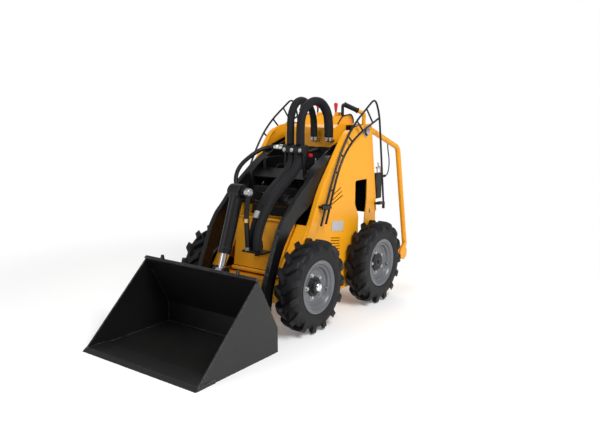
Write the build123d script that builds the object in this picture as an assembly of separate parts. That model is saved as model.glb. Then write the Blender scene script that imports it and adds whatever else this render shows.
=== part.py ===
from build123d import *
import os
from math import atan2, degrees, hypot, radians, tan

# Mini wheel loader in millimetres: +X forward to the bucket, +Y to its left, +Z up, ground at z = 0.
# Inside this file x is counted from the front axle; export sets the whole machine about its middle.

# Wheels
WHEEL_RADIUS = 252.5          # over the tips of the lugs
CARCASS_RADIUS = 231.0        # tyre under its lugs
TYRE_WIDTH = 125.0
TYRE_OUTER_Y = 405.0          # outer sidewall from the machine's middle
WHEELBASE = 676.0
RIM_RADIUS = 127.0            # bead seat of the ten inch rim
RIM_FLANGE_RADIUS = 144.0
RIM_WALL = 5.0
TYRE_FIT = 0.3                # tyre over the rim
HUB_RADIUS = 43.0
DISC_INSET = 30.0             # rim disc behind the outer flange
MOTOR_RADIUS = 60.0
STUB_RADIUS = 34.0
STUB_GAP = 0.3                # rim disc to the motor's flange

# Chassis
PANEL_Y = 285.0               # outer face of the upper side panels
LOWER_Y = 255.0               # outer face below the step that clears the tyres
STEP_TOP_Z = 545.0
STEP_LOW_Z = 510.0
SHEET = 6.0                   # panels and flanges
HULL_WALL = 8.0
HULL_LOW_Z = 125.0
SEAM_Z = 270.0                # hull below, side panels above
HULL_REAR_X = -820.0
HULL_FRONT_X = 110.0
SLOPE_LOW = (100.0, 295.0)    # front slope of the chassis behind the arms
SLOPE_TOP = (-84.0, 552.0)
DECK_Z = 1090.0
PANEL_TOP = [(-184.0, 745.0), (-312.0, 901.0), (-424.0, 1036.0), (-520.0, 1076.0), (-610.0, 1088.0),
             (-716.0, 1096.0)]
PANEL_REAR_LOW = (-820.0, 445.0)
WINDOW = [(-536.0, 762.0), (-672.0, 762.0), (-668.0, 348.0), (-661.0, 348.0), (-595.0, 393.0),
          (-595.0, 541.0), (-535.0, 623.0)]

# Lift arms and their cylinders
PIVOT = (-647.0, 1050.0)      # x and z of the arms' pivot
ARM_INNER_Y = 190.0
ARM_OUTER_Y = 250.0
ARM_PLATE = 8.0
ARM_BOSS_RADIUS = 36.0
HITCH = (260.0, 160.0)        # x and z of the hitch pin
HITCH_BOSS_RADIUS = 38.0
PIN_RADIUS = 17.0
PIN_CLEARANCE = 0.1
ARM_TOP = [(-402.0, 941.0), (-140.0, 794.0), (-70.0, 755.0), (25.0, 703.0), (149.0, 598.0),
           (216.0, 506.0), (261.0, 435.0), (279.0, 300.0), (298.0, 160.0)]
ARM_BOTTOM = [(222.0, 160.0), (195.0, 243.0), (152.0, 310.0), (109.0, 392.0), (17.0, 479.0),
              (-89.0, 567.0), (-174.0, 651.0), (-310.0, 790.0)]
ARM_BOX_X = -312.0            # the arm is a closed box ahead of this, two plates behind it
CROSS_TUBE = (-20.0, 690.0)
CROSS_TUBE_RADIUS = 36.0
UPPER_CROSS = (-225.0, 800.0)
CLAMP_X = -200.0              # hose clamp on posts above the upper cross plate
CLAMP_Z = 940.0
CLAMP_POSTS = (20.0, 150.0)
LIFT_BASE = (-550.0, 340.0)
LIFT_EYE = (-387.0, 900.0)
LIFT_Y = 220.0
LIFT_BARREL_RADIUS = 24.0
LIFT_ROD_RADIUS = 16.0
LIFT_BARREL_LENGTH = 480.0
LIFT_ROD_TAIL = 60.0          # hidden end of the rod from the base pin
TILT_BASE = (190.0, 755.0)
TILT_EYE = (335.0, 350.0)
TILT_BARREL_RADIUS = 35.0
TILT_ROD_RADIUS = 18.0
TILT_BARREL_LENGTH = 336.0
TILT_ROD_TAIL = 100.0
CYLINDER_WALL = 5.0
BORE_START = 28.0             # closed end of the bore from the base pin
GLAND = 16.0                  # end wall that the rod slides through
PISTON = 12.0
PISTON_GAP = 0.5
ROD_PIN_RADIUS = 12.0
SHAFT_RADIUS = 15.0
EAR = 12.0                    # thickness of the cylinder ears
EYE_GAP = 2.0                 # each side of a cylinder eye

# Hitch and bucket
BUCKET_WIDTH = 784.0
BUCKET_LIP_X = 924.0
BUCKET_REAR_X = 350.0
BUCKET_TOP = (496.0, 398.0)
BUCKET_KNEE_Z = 126.0
BUCKET_WALL = 8.0
EDGE_THICK = 16.0
EDGE_LENGTH = 124.0
EDGE_OVERHANG = 4.0
HITCH_EAR_Y = 168.0           # inner face of the ear beside each arm
HITCH_EAR = 16.0
HITCH_HALF_WIDTH = 250.0

# Rear frame, guards and controls
REAR_TUBE_RADIUS = 17.0
REAR_TUBE_Y = 261.0
REAR_TUBE_START = (-722.0, 1062.0)
REAR_BEND_TOP = (-1100.0, 926.0)
REAR_BEND_LOW = (-1240.0, 250.0)
DISC = (-1190.0, 199.0)       # x and z of the rounded plate at each rear foot
DISC_RADIUS = 45.0
GUARD_Y = 310.0
GUARD_ROD_RADIUS = 5.0
CONSOLE_HALF = 150.0
CONSOLE_FLOOR_Z = 1105.0
HANDLE_FOOT = (-703.0, 235.0)   # x and y of each grab handle's foot on the deck
HANDLE_BEND_Z = 1153.0
GRIP_END = (-600.0, 147.0, 1212.0)
HOOD_HALF = 178.0
NOSE_HALF = 170.0
NOSE_TOP_Z = 585.0
TIE_HOLE = (-1075.0, 215.0)   # lashing hole in each rear foot plate
TIE_HOLE_RADIUS = 12.0
CABLE_RADIUS = 4.0
SLEEVE_RADIUS = 27.0
LOOP_RADIUS = 12.0


def front_axle_x():
    """Where the front axle lies when the machine's middle is at x = 0."""
    return -(BUCKET_LIP_X + rear_frame().bounding_box().min.X) / 2


def export(node, shape):
    """Set a piece in the machine's frame and write it as one node."""
    export_step(Pos(FRONT_AXLE_X, 0, 0) * shape, "parts/" + node + ".step")


def plate(outline, y_low, y_high):
    """Flat plate with an outline in x and z, thick along y."""
    edge = Polyline(*[(x, y_low, z) for x, z in outline], close=True)
    return extrude(make_face(edge), amount=y_high - y_low, dir=(0, 1, 0))


def block(x_low, x_high, y_low, y_high, z_low, z_high):
    """Rectangular block between six faces."""
    size = (x_high - x_low, y_high - y_low, z_high - z_low)
    middle = Pos((x_low + x_high) / 2, (y_low + y_high) / 2, (z_low + z_high) / 2)
    return middle * Box(*size)


def cross_bar(point, radius, y_low, y_high):
    """Round bar along y through a point given in x and z."""
    return Pos(point[0], (y_low + y_high) / 2, point[1]) * Rot(90, 0, 0) * Cylinder(radius, y_high - y_low)


def bar(start, end, radius):
    """Round bar between two points."""
    run = Vector(*end) - Vector(*start)
    return extrude(Plane(origin=start, z_dir=run) * Circle(radius), amount=run.length)


def tube(points, radius, corner_radii):
    """Round tube along straight runs joined by arcs."""
    path = FilletPolyline(*points, radius=corner_radii)
    return sweep(Plane(origin=path @ 0, z_dir=path % 0) * Circle(radius), path=path)


def cord(points, radius):
    """Hose along chosen points, each bend as wide as its two runs allow."""
    radii = []
    for before, here, after in zip(points, points[1:], points[2:]):
        run_in = Vector(*here) - Vector(*before)
        run_out = Vector(*after) - Vector(*here)
        half_turn = radians(run_in.get_angle(run_out)) / 2
        radii.append(0.45 * min(run_in.length, run_out.length) / tan(half_turn))
    print("bend radii", [round(value) for value in radii])
    return tube(points, radius, radii)


def turned(profile, centre):
    """Solid of revolution about an axis along y; the profile lists radius and y."""
    edge = Polyline(*[(radius, y) for radius, y in profile], close=True)
    return Pos(centre[0], 0, centre[1]) * revolve(make_face(edge), Axis.Y)


def mirrored(shape):
    """The same shape on the machine's right."""
    return mirror(shape, Plane.XZ)


def together(shapes):
    """Several pieces that don't touch, as the solids of one node."""
    return Compound([solid for shape in shapes for solid in shape.solids()])


def both_sides(shape):
    """A piece and its mirror image as two solids in one node."""
    return together([shape, mirrored(shape)])


def tyre(centre):
    """Tyre from bead to bead, out to the tips of its lugs."""
    middle = TYRE_OUTER_Y - TYRE_WIDTH / 2
    half = TYRE_WIDTH / 2
    bead = RIM_RADIUS + TYRE_FIT
    side = [(bead, 19.5 - half), (RIM_FLANGE_RADIUS + 2, 5.3 - half), (175, -half), (212, -half),
            (237, 4.5 - half)]
    crown = [(WHEEL_RADIUS, 12.5 - half), (WHEEL_RADIUS, half - 12.5)]
    profile = side + crown + [(radius, -y) for radius, y in reversed(side)]
    return turned([(radius, middle + y) for radius, y in profile], centre)


def rim(centre):
    """Stepped steel rim with its dished disc, hub and cap."""
    outer = TYRE_OUTER_Y - 5
    inner = TYRE_OUTER_Y - TYRE_WIDTH + 5
    disc = outer - DISC_INSET
    well = RIM_RADIUS - RIM_WALL
    profile = [(0, disc), (well, disc), (well, inner + 12), (RIM_FLANGE_RADIUS - 4, inner),
               (RIM_FLANGE_RADIUS, inner), (RIM_RADIUS, inner + 14), (RIM_RADIUS, outer - 14),
               (RIM_FLANGE_RADIUS, outer), (RIM_FLANGE_RADIUS - 6, outer), (RIM_RADIUS - 4, outer - 6),
               (RIM_RADIUS - 6, disc + 18), (RIM_RADIUS - 22, disc + 16), (RIM_RADIUS - 24, disc + 11),
               (RIM_RADIUS - 44, disc + 9), (RIM_RADIUS - 46, disc + 6), (HUB_RADIUS + 2, disc + 6),
               (HUB_RADIUS, disc + 20), (HUB_RADIUS - 12, disc + 24), (22, disc + 24), (20, disc + 30),
               (0, disc + 32)]
    return turned(profile, centre)


def wheel_motor(centre):
    """Hub motor drum on the hull and its flange up to the rim disc."""
    disc = TYRE_OUTER_Y - 5 - DISC_INSET
    profile = [(0, LOWER_Y), (MOTOR_RADIUS + 14, LOWER_Y), (MOTOR_RADIUS + 14, LOWER_Y + 10),
               (MOTOR_RADIUS, LOWER_Y + 12), (MOTOR_RADIUS, LOWER_Y + 50), (STUB_RADIUS, LOWER_Y + 56),
               (STUB_RADIUS, disc - 14), (STUB_RADIUS + 18, disc - 12), (STUB_RADIUS + 18, disc - STUB_GAP),
               (0, disc - STUB_GAP)]
    return turned(profile, centre)


def lower_frame():
    """Welded hull between the wheels, open at the top, with cross walls."""
    outline = [(HULL_REAR_X, SEAM_Z), (HULL_REAR_X, HULL_LOW_Z + 30), (HULL_REAR_X + 30, HULL_LOW_Z),
               (HULL_FRONT_X - 60, HULL_LOW_Z), (HULL_FRONT_X - 18, HULL_LOW_Z + 20),
               (HULL_FRONT_X, HULL_LOW_Z + 65), (HULL_FRONT_X, SEAM_Z)]
    hull = plate(outline, -LOWER_Y, LOWER_Y)
    inside = block(HULL_REAR_X + HULL_WALL, HULL_FRONT_X - 60, HULL_WALL - LOWER_Y, LOWER_Y - HULL_WALL,
                   HULL_LOW_Z + HULL_WALL, SEAM_Z + 1)
    cross_wall = block(-420, -412, HULL_WALL - LOWER_Y, LOWER_Y - HULL_WALL, HULL_LOW_Z, SEAM_Z)
    return hull - inside + cross_wall


def panel_outline():
    """Side panel seen from the side."""
    low = [(HULL_REAR_X, SEAM_Z), (HULL_FRONT_X, SEAM_Z), SLOPE_LOW, SLOPE_TOP]
    return low + PANEL_TOP + [PANEL_REAR_LOW]


def side_panel():
    """Left side panel, stepped inwards above the tyres, with its window and front flange."""
    section = [(PANEL_Y, DECK_Z + 20), (PANEL_Y, STEP_TOP_Z), (LOWER_Y, STEP_LOW_Z), (LOWER_Y, SEAM_Z),
               (LOWER_Y - SHEET, SEAM_Z), (LOWER_Y - SHEET, STEP_LOW_Z + 2),
               (PANEL_Y - SHEET, STEP_TOP_Z + 2), (PANEL_Y - SHEET, DECK_Z + 20)]
    edge = Polyline(*[(HULL_REAR_X - 10, y, z) for y, z in section], close=True)
    sheet = extrude(make_face(edge), amount=HULL_FRONT_X - HULL_REAR_X + 20, dir=(1, 0, 0))
    panel = sheet & plate(panel_outline(), LOWER_Y - 20, PANEL_Y + 20)
    panel -= plate(WINDOW, LOWER_Y - 20, PANEL_Y + 20)
    panel -= cross_bar(PIVOT, PIN_RADIUS + PIN_CLEARANCE, LOWER_Y, PANEL_Y + 20)
    run = (SLOPE_TOP[0] - SLOPE_LOW[0], SLOPE_TOP[1] - SLOPE_LOW[1])
    length = hypot(*run)
    normal = (-run[1] / length * SHEET, run[0] / length * SHEET)
    flange = plate([SLOPE_LOW, SLOPE_TOP, (SLOPE_TOP[0] + normal[0], SLOPE_TOP[1] + normal[1]),
                    (SLOPE_LOW[0] + normal[0], SLOPE_LOW[1] + normal[1])], ARM_INNER_Y, LOWER_Y - SHEET)
    return panel + flange


def tower_frame():
    """Inner plates inside the arms, the walls between them and the pivot's cross wall."""
    inner = HOOD_HALF - SHEET
    under_deck = DECK_Z - SHEET
    outline = [(-735, SEAM_Z), (-200, SEAM_Z), (-200, 470), (-440, 560), (-590, 900), (-590, under_deck),
               (-704, under_deck), (-735, 900)]
    cut = [(-700, 340), (-590, 340), (-590, 520), (-700, 520)]
    cheek = plate(outline, inner, HOOD_HALF) - plate(cut, inner - 1, HOOD_HALF + 1)
    cheek -= cross_bar(LIFT_BASE, SHAFT_RADIUS + PIN_CLEARANCE, inner - 1, HOOD_HALF + 1)
    wall = block(-735, -729, -inner, inner, 560, 880)
    floor = block(-560, -205, -inner, inner, SEAM_Z, SEAM_Z + SHEET)
    return cheek + mirrored(cheek) + wall + floor


def bulkhead():
    """Front wall of the chassis between the side panels, higher behind the nose."""
    wide = block(-102, -96, SHEET - LOWER_Y, LOWER_Y - SHEET, SEAM_Z, 552)
    return wide + block(-102, -96, -NOSE_HALF, NOSE_HALF, 552, NOSE_TOP_Z)


def nose_tank():
    """Tank between the arms with its rounded corners and bottom lip."""
    outline = [(-96, 300), (-96, NOSE_TOP_Z), (-12, NOSE_TOP_Z), (2, NOSE_TOP_Z - 15), (44, 306), (58, 296),
               (58, 288), (-96, 288)]
    return plate(outline, -NOSE_HALF, NOSE_HALF)


def front_panel():
    """Black sheet housing above the nose."""
    low = NOSE_TOP_Z
    return plate([(-130, low), (-96, low), (-118, low + 160), (-152, low + 160)], -150, 150)


def engine():
    """Engine block with its blower housing and head."""
    base = block(-525, -205, -120, 120, SEAM_Z + SHEET, 560)
    crank = block(-520, -230, -95, 95, 560, 700)
    drum = Pos(-200, 20, 640) * Rot(0, 90, 0) * Cylinder(70, 60)
    return base + crank + drum


def muffler():
    """Silencer across the rear of the engine."""
    inner = HOOD_HALF - SHEET
    return cross_bar((-620, 820), 55, -130, 130) + cross_bar((-620, 820), 18, -inner, inner)


def air_filter():
    """Round air filter over the engine on its neck."""
    drum = Pos(-430, -40, 800) * Cylinder(75, 90)
    neck = bar((-430, -40, 700), (-430, -40, 756), 25)
    return drum + neck


def hood():
    """Curved sheet cover ahead of the deck."""
    outer = [(-455, 953), (-455, 1040), (-470, 1072), (-510, DECK_Z), (-590, DECK_Z)]
    inner = [(-590, DECK_Z - SHEET), (-512, DECK_Z - SHEET), (-475, 1067), (-461, 1037), (-461, 953)]
    skin = plate(outer + inner, -HOOD_HALF, HOOD_HALF)
    cheek = plate(outer + [(-590, 953)], HOOD_HALF - SHEET, HOOD_HALF)
    return skin + cheek + mirrored(cheek)


def top_deck():
    """Deck sheet behind the hood, between the side panels."""
    front = block(-700, -590, -HOOD_HALF, HOOD_HALF, DECK_Z - SHEET, DECK_Z)
    rear = block(PANEL_TOP[-1][0], -690, SHEET - PANEL_Y, PANEL_Y - SHEET, DECK_Z - SHEET, DECK_Z)
    return front + rear


def rear_face_x(z):
    """Back face of the rear panel at a height."""
    top_z = DECK_Z - SHEET
    share = (top_z - z) / (top_z - PANEL_REAR_LOW[1])
    return PANEL_TOP[-1][0] + (PANEL_REAR_LOW[0] - PANEL_TOP[-1][0]) * share


def rear_panel():
    """Sloping sheet that closes the back above the opening, with holes for the rear tubes."""
    top_z = DECK_Z - SHEET
    low_z = STEP_TOP_Z + 2
    outline = [(rear_face_x(top_z), top_z), (rear_face_x(low_z), low_z), (rear_face_x(low_z) + SHEET, low_z),
               (rear_face_x(top_z) + SHEET, top_z)]
    sheet = plate(outline, SHEET - PANEL_Y, PANEL_Y - SHEET)
    start = (REAR_TUBE_START[0] + 20, REAR_TUBE_Y, REAR_TUBE_START[1] + 7)
    hole = bar(start, (REAR_BEND_TOP[0], REAR_TUBE_Y, REAR_BEND_TOP[1]), REAR_TUBE_RADIUS)
    return sheet - hole - mirrored(hole)


def console():
    """Control console with raised cheeks."""
    outline = [(-541, DECK_Z), (-590, 1138), (-691, 1149), (-716, 1117), (-716, DECK_Z)]
    body = plate(outline, -CONSOLE_HALF, CONSOLE_HALF)
    well = plate([(-580, CONSOLE_FLOOR_Z), (-615, 1160), (-700, 1160), (-700, CONSOLE_FLOOR_Z)],
                 SHEET - CONSOLE_HALF, CONSOLE_HALF - SHEET)
    return body - well


def control_levers():
    """Levers with round knobs standing in the console."""
    levers = []
    for x, y, top in [(-650, -75, 1195), (-650, -25, 1190), (-650, 25, 1190), (-640, 85, 1200)]:
        stalk = bar((x, y, CONSOLE_FLOOR_Z + 3), (x - 8, y, top), 5)
        stalk += Pos(x, y, CONSOLE_FLOOR_Z + 3) * Cylinder(10, 6)
        levers.append(stalk + Pos(x - 8, y, top) * Sphere(13))
    return together(levers)


def handle_joint():
    """Where the left handle's tube meets its grip."""
    bend = Vector(*HANDLE_FOOT, HANDLE_BEND_Z)
    return bend + (Vector(*GRIP_END) - bend) * 0.3


def handlebar():
    """Bent tube of the left grab handle, up from the deck's rear edge."""
    foot = Vector(*HANDLE_FOOT, DECK_Z)
    bend = Vector(*HANDLE_FOOT, HANDLE_BEND_Z)
    return tube([foot, bend, handle_joint()], 12, 20)


def handle_grip():
    """Ribbed grip of the left handle and its leg down to the console's cheek."""
    end = Vector(*GRIP_END)
    leg = tube([handle_joint(), end, (GRIP_END[0], GRIP_END[1], 1140.1)], 9, 16)
    reach = end - handle_joint()
    return leg + bar(handle_joint(), handle_joint() + reach * 0.86, 14)


def side_guard():
    """Ladder of rods beside the panel, with its foot and rear bracket."""
    y = GUARD_Y
    outer_points = [(-140, y, 554), (-290, y, 880), (-440, y, 1080), (-705, y, 1246), (-760, y, 1150),
                    (-838, y, 600)]
    outer = FilletPolyline(*outer_points, radius=[260, 260, 30, 60])
    inner_points = [(-189, y, 554), (-325, y, 885), (-480, y, 1025), (-763, y, 1128)]
    inner = FilletPolyline(*inner_points, radius=[200, 200])
    guard = sweep(Plane(origin=outer @ 0, z_dir=outer % 0) * Circle(GUARD_ROD_RADIUS), path=outer)
    guard += sweep(Plane(origin=inner @ 0, z_dir=inner % 0) * Circle(GUARD_ROD_RADIUS), path=inner)
    for along_outer, along_inner in [(0.06, 0.12), (0.13, 0.23), (0.2, 0.35), (0.27, 0.47), (0.35, 0.61),
                                     (0.43, 0.76), (0.51, 0.9)]:
        guard += bar(outer @ along_outer, inner @ along_inner, GUARD_ROD_RADIUS - 1)
    guard += block(-205, -125, PANEL_Y, y + 8, 548, 554)
    guard += block(-848, -780, PANEL_Y, y + 8, 590, 600)
    return guard


def rear_frame():
    """Bent tubes behind the machine, the foot plates and the low cross tube."""
    y = REAR_TUBE_Y
    side = tube([(REAR_TUBE_START[0], y, REAR_TUBE_START[1]), (REAR_BEND_TOP[0], y, REAR_BEND_TOP[1]),
                 (REAR_BEND_LOW[0], y, REAR_BEND_LOW[1]), (DISC[0], y, DISC[1])],
                REAR_TUBE_RADIUS, [60, 30])
    web = [(DISC[0], DISC[1] + DISC_RADIUS - 2), (DISC[0], DISC[1] - DISC_RADIUS + 2),
           (HULL_REAR_X + 40, HULL_LOW_Z + 50), (HULL_REAR_X + 40, SEAM_Z - 4)]
    foot = plate(web, LOWER_Y, LOWER_Y + 10) + cross_bar(DISC, DISC_RADIUS, LOWER_Y, LOWER_Y + 10)
    foot -= cross_bar(TIE_HOLE, TIE_HOLE_RADIUS, LOWER_Y - 1, LOWER_Y + 11)
    low = cross_bar(DISC, REAR_TUBE_RADIUS, -LOWER_Y, LOWER_Y)
    return side + foot + mirrored(side) + mirrored(foot) + low


def holder_box():
    """Flat box behind the left post, on two straps."""
    box = block(-967, -890, 190, 250, 590, 856)
    for z in (640, 800):
        strap = [(-890, z), (-890, z + 12), (rear_face_x(z + 12), z + 12), (rear_face_x(z), z)]
        box += plate(strap, 200, 240)
    return box


def lift_arm():
    """Left lift arm: a box section that opens into two plates behind."""
    outline = [(PIVOT[0], PIVOT[1] + 30)] + ARM_TOP + ARM_BOTTOM + [(PIVOT[0], PIVOT[1] - 34)]
    solid = plate(outline, ARM_INNER_Y, ARM_OUTER_Y)
    solid += cross_bar(HITCH, HITCH_BOSS_RADIUS, ARM_INNER_Y, ARM_OUTER_Y)
    solid += cross_bar(PIVOT, ARM_BOSS_RADIUS, ARM_INNER_Y, ARM_OUTER_Y)
    slot = block(PIVOT[0] + 50, ARM_BOX_X, ARM_INNER_Y + ARM_PLATE, ARM_OUTER_Y - ARM_PLATE, 600, 1150)
    solid -= slot
    solid -= cross_bar(PIVOT, PIN_RADIUS + PIN_CLEARANCE, ARM_INNER_Y - 1, ARM_OUTER_Y + 1)
    solid -= cross_bar(HITCH, PIN_RADIUS + PIN_CLEARANCE, ARM_INNER_Y - 1, ARM_OUTER_Y + 1)
    return solid


def arm_cross():
    """Cross tube, upper cross plate and the bracket of the tilt cylinder."""
    tube_solid = cross_bar(CROSS_TUBE, CROSS_TUBE_RADIUS, -ARM_INNER_Y, ARM_INNER_Y)
    upper = plate([(UPPER_CROSS[0] - 30, UPPER_CROSS[1] + 30), (UPPER_CROSS[0] + 50, UPPER_CROSS[1] - 15),
                   (UPPER_CROSS[0] + 56, UPPER_CROSS[1] - 5), (UPPER_CROSS[0] - 24, UPPER_CROSS[1] + 40)],
                  -ARM_INNER_Y, ARM_INNER_Y)
    for y in CLAMP_POSTS:
        upper += block(CLAMP_X - 11, CLAMP_X + 11, y, y + EAR, UPPER_CROSS[1] + 5, CLAMP_Z)
    ear_low = TILT_BARREL_RADIUS + 5
    outline = [(CROSS_TUBE[0] - 30, CROSS_TUBE[1] + 15), (TILT_BASE[0] - 15, TILT_BASE[1] + 24),
               (TILT_BASE[0] + 24, TILT_BASE[1] - 12), (CROSS_TUBE[0] + 30, CROSS_TUBE[1] - 15)]
    ear = plate(outline, ear_low, ear_low + EAR) + cross_bar(TILT_BASE, 28, ear_low, ear_low + EAR)
    pin = cross_bar(TILT_BASE, SHAFT_RADIUS, -ear_low - EAR - 8, ear_low + EAR + 30)
    return tube_solid + upper + ear + mirrored(ear) + pin


def arm_pivot_pin():
    """Left pivot pin through the panel, the arm and the tower plate, with its washer."""
    pin = cross_bar(PIVOT, PIN_RADIUS, HOOD_HALF, PANEL_Y + 10)
    return pin + cross_bar(PIVOT, PIN_RADIUS + 11, PANEL_Y, PANEL_Y + 5)


def cylinder_angle(base, eye):
    """Direction of a cylinder above the horizontal, in degrees."""
    return degrees(atan2(eye[1] - base[1], eye[0] - base[0]))


def set_cylinder(shape, base, eye, y):
    """Turn a cylinder built along x into its place between two pins."""
    return Pos(base[0], y, base[1]) * Rot(0, -cylinder_angle(base, eye), 0) * shape


def lying_rod(start, end, radius):
    """Round bar along x."""
    return bar((start, 0, 0), (end, 0, 0), radius)


def barrel(radius, length, eye_half, rod_radius):
    """Cylinder barrel with its base eye and gland, hollow for the piston and rod."""
    body = lying_rod(0, length, radius) + lying_rod(length - 2 * GLAND, length, radius + 2)
    body += cross_bar((0, 0), radius + 6, -eye_half, eye_half)
    body -= lying_rod(BORE_START, length - GLAND, radius - CYLINDER_WALL)
    body -= lying_rod(BORE_START, length + 1, rod_radius + PIN_CLEARANCE)
    return body - cross_bar((0, 0), SHAFT_RADIUS + PIN_CLEARANCE, -eye_half - 1, eye_half + 1)


def rod(radius, tail, reach, eye_radius, eye_half, pin_half, piston_radius):
    """Piston rod with its piston, eye and the eye's own pin."""
    shaft = lying_rod(tail, reach, radius) + lying_rod(tail, tail + PISTON, piston_radius)
    eye = cross_bar((reach, 0), eye_radius, -eye_half, eye_half)
    return shaft + eye + cross_bar((reach, 0), ROD_PIN_RADIUS, -pin_half, pin_half)


def distance(start, end):
    """Distance between two points given in x and z."""
    return hypot(end[0] - start[0], end[1] - start[1])


def quick_hitch():
    """Coupler frame on the bucket's back with ears for the arms and the tilt cylinder."""
    y0 = HITCH_EAR_Y
    back = BUCKET_REAR_X - 0.3
    ear = plate([(HITCH[0] - 5, HITCH[1] + 38), (back, 230), (back, 30), (HITCH[0] - 5, HITCH[1] - 38)],
                y0, y0 + HITCH_EAR)
    ear += cross_bar(HITCH, HITCH_BOSS_RADIUS, y0, y0 + HITCH_EAR)
    ear += cross_bar(HITCH, PIN_RADIUS, y0, ARM_OUTER_Y + 6)
    beam = block(back - 40, back, -HITCH_HALF_WIDTH, HITCH_HALF_WIDTH, 30, 110)
    shelf = plate([(back - 40, 110), (back, 110), (back, BUCKET_KNEE_Z), (398, 217), (360, 235)],
                  -HITCH_HALF_WIDTH + 20, HITCH_HALF_WIDTH - 20)
    inner = 26
    centre = plate([(back - 40, 60), (back - 70, 200), (TILT_EYE[0] - 26, TILT_EYE[1] + 6),
                    (TILT_EYE[0] + 26, TILT_EYE[1] - 6), (385, 225), (back - 5, 120)], inner, inner + EAR)
    centre += cross_bar(TILT_EYE, 28, inner, inner + EAR)
    return ear + mirrored(ear) + beam + shelf + centre + mirrored(centre)


def bucket():
    """Bucket shell with its side plates and bevelled cutting edge."""
    half = BUCKET_WIDTH / 2
    slope = (BUCKET_TOP[0] - BUCKET_REAR_X, BUCKET_TOP[1] - BUCKET_KNEE_Z)
    length = hypot(*slope)
    inward = (slope[1] / length * BUCKET_WALL, -slope[0] / length * BUCKET_WALL)
    outline = [(BUCKET_LIP_X - 20, 0), (BUCKET_REAR_X, 0), (BUCKET_REAR_X, BUCKET_KNEE_Z), BUCKET_TOP,
               (BUCKET_TOP[0] + 10, BUCKET_TOP[1] - 6), (BUCKET_LIP_X - 14, 8)]
    far = 0.4
    hollow = [(BUCKET_LIP_X + 40, BUCKET_WALL), (BUCKET_REAR_X + BUCKET_WALL, BUCKET_WALL),
              (BUCKET_REAR_X + BUCKET_WALL, BUCKET_KNEE_Z - BUCKET_WALL * 0.26),
              (BUCKET_TOP[0] + inward[0] + slope[0] * far, BUCKET_TOP[1] + inward[1] + slope[1] * far)]
    shell = plate(outline, -half, half) - plate(hollow, BUCKET_WALL - half, half - BUCKET_WALL)
    edge = plate([(BUCKET_LIP_X, 0), (BUCKET_LIP_X - 24, EDGE_THICK), (BUCKET_LIP_X - EDGE_LENGTH, EDGE_THICK),
                  (BUCKET_LIP_X - EDGE_LENGTH, 0)], -half - EDGE_OVERHANG, half + EDGE_OVERHANG)
    return shell + edge


HOSE_BIG = [(-425, 165, 1020), (-425, 165, 1085), (-420, 163, 1142), (-393, 158, 1196), (-344, 150, 1227),
            (-286, 142, 1227), (-237, 134, 1196), (-210, 128, 1145), (-200, 125, 1085), (-200, 125, 985.3)]
HOSE_SMALL = [(-425, 60, 1020), (-425, 60, 1085), (-420, 58, 1145), (-392, 54, 1199), (-343, 51, 1232),
              (-286, 50, 1232), (-238, 51, 1199), (-210, 53, 1147), (-200, 56, 1085), (-200, 56, 985.3)]
SLEEVE_ONE = [(-195, 118, 939.7), (-195, 118, 893), (-155, 120, 845), (-85, 124, 802), (-10, 127, 760),
              (65, 128, 708), (120, 128, 645), (162, 128, 577), (190, 128, 510), (190, 128, 450.3)]
SLEEVE_TWO = [(-195, 66, 939.7), (-195, 66, 893), (-150, 69, 842), (-80, 72, 800), (-8, 76, 762),
              (62, 76, 706), (110, 76, 640), (145, 76, 572), (170, 74, 505), (170, 74, 450.3)]
AUX_LOOP = [(-200, -60.3, 966), (-200, -92, 966), (-172, -120, 957), (-122, -138, 936), (-60, -146, 905),
            (0, -146, 872), (48, -136, 830), (78, -116, 784), (90, -88, 738), (90, -52.3, 738)]
STOP_CABLE = [(-962, 261, 955.5), (-966, 262, 920), (-985, 260, 875), (-1000, 256, 828), (-1003, 250, 782),
              (-992, 244, 750), (-967.3, 244, 750)]
FITTINGS = (47.0, 73.0, 152.0, 178.0)   # y of the elbows on the hood, two to each arched bundle


def hose_clamp():
    """Clamp block on its posts, where the hoses change direction."""
    clamp = block(CLAMP_X - 34, CLAMP_X + 34, 18, 162, CLAMP_Z, CLAMP_Z + 45)
    return clamp


def couplers():
    """Steel coupler at the clamp's end, where the looped hose begins."""
    wide = bar((CLAMP_X, 18, 966), (CLAMP_X, -34, 966), 15)
    return wide + bar((CLAMP_X, -34, 966), (CLAMP_X, -60, 966), 12)


def hose_fittings():
    """Steel elbows on the hood's front that the arched hoses come from."""
    elbows = []
    for y in FITTINGS:
        elbow = bar((-455, y, 1000), (-425, y, 1000), 9) + Pos(-425, y, 1000) * Sphere(9)
        elbows.append(elbow + bar((-425, y, 1000), (-425, y, 1019.7), 9))
    return together(elbows)


def hose_bracket():
    """Plate on the left arm that holds the ends of the two sleeves."""
    return block(148, 220, 50, ARM_INNER_Y, 440, 450)


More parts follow.
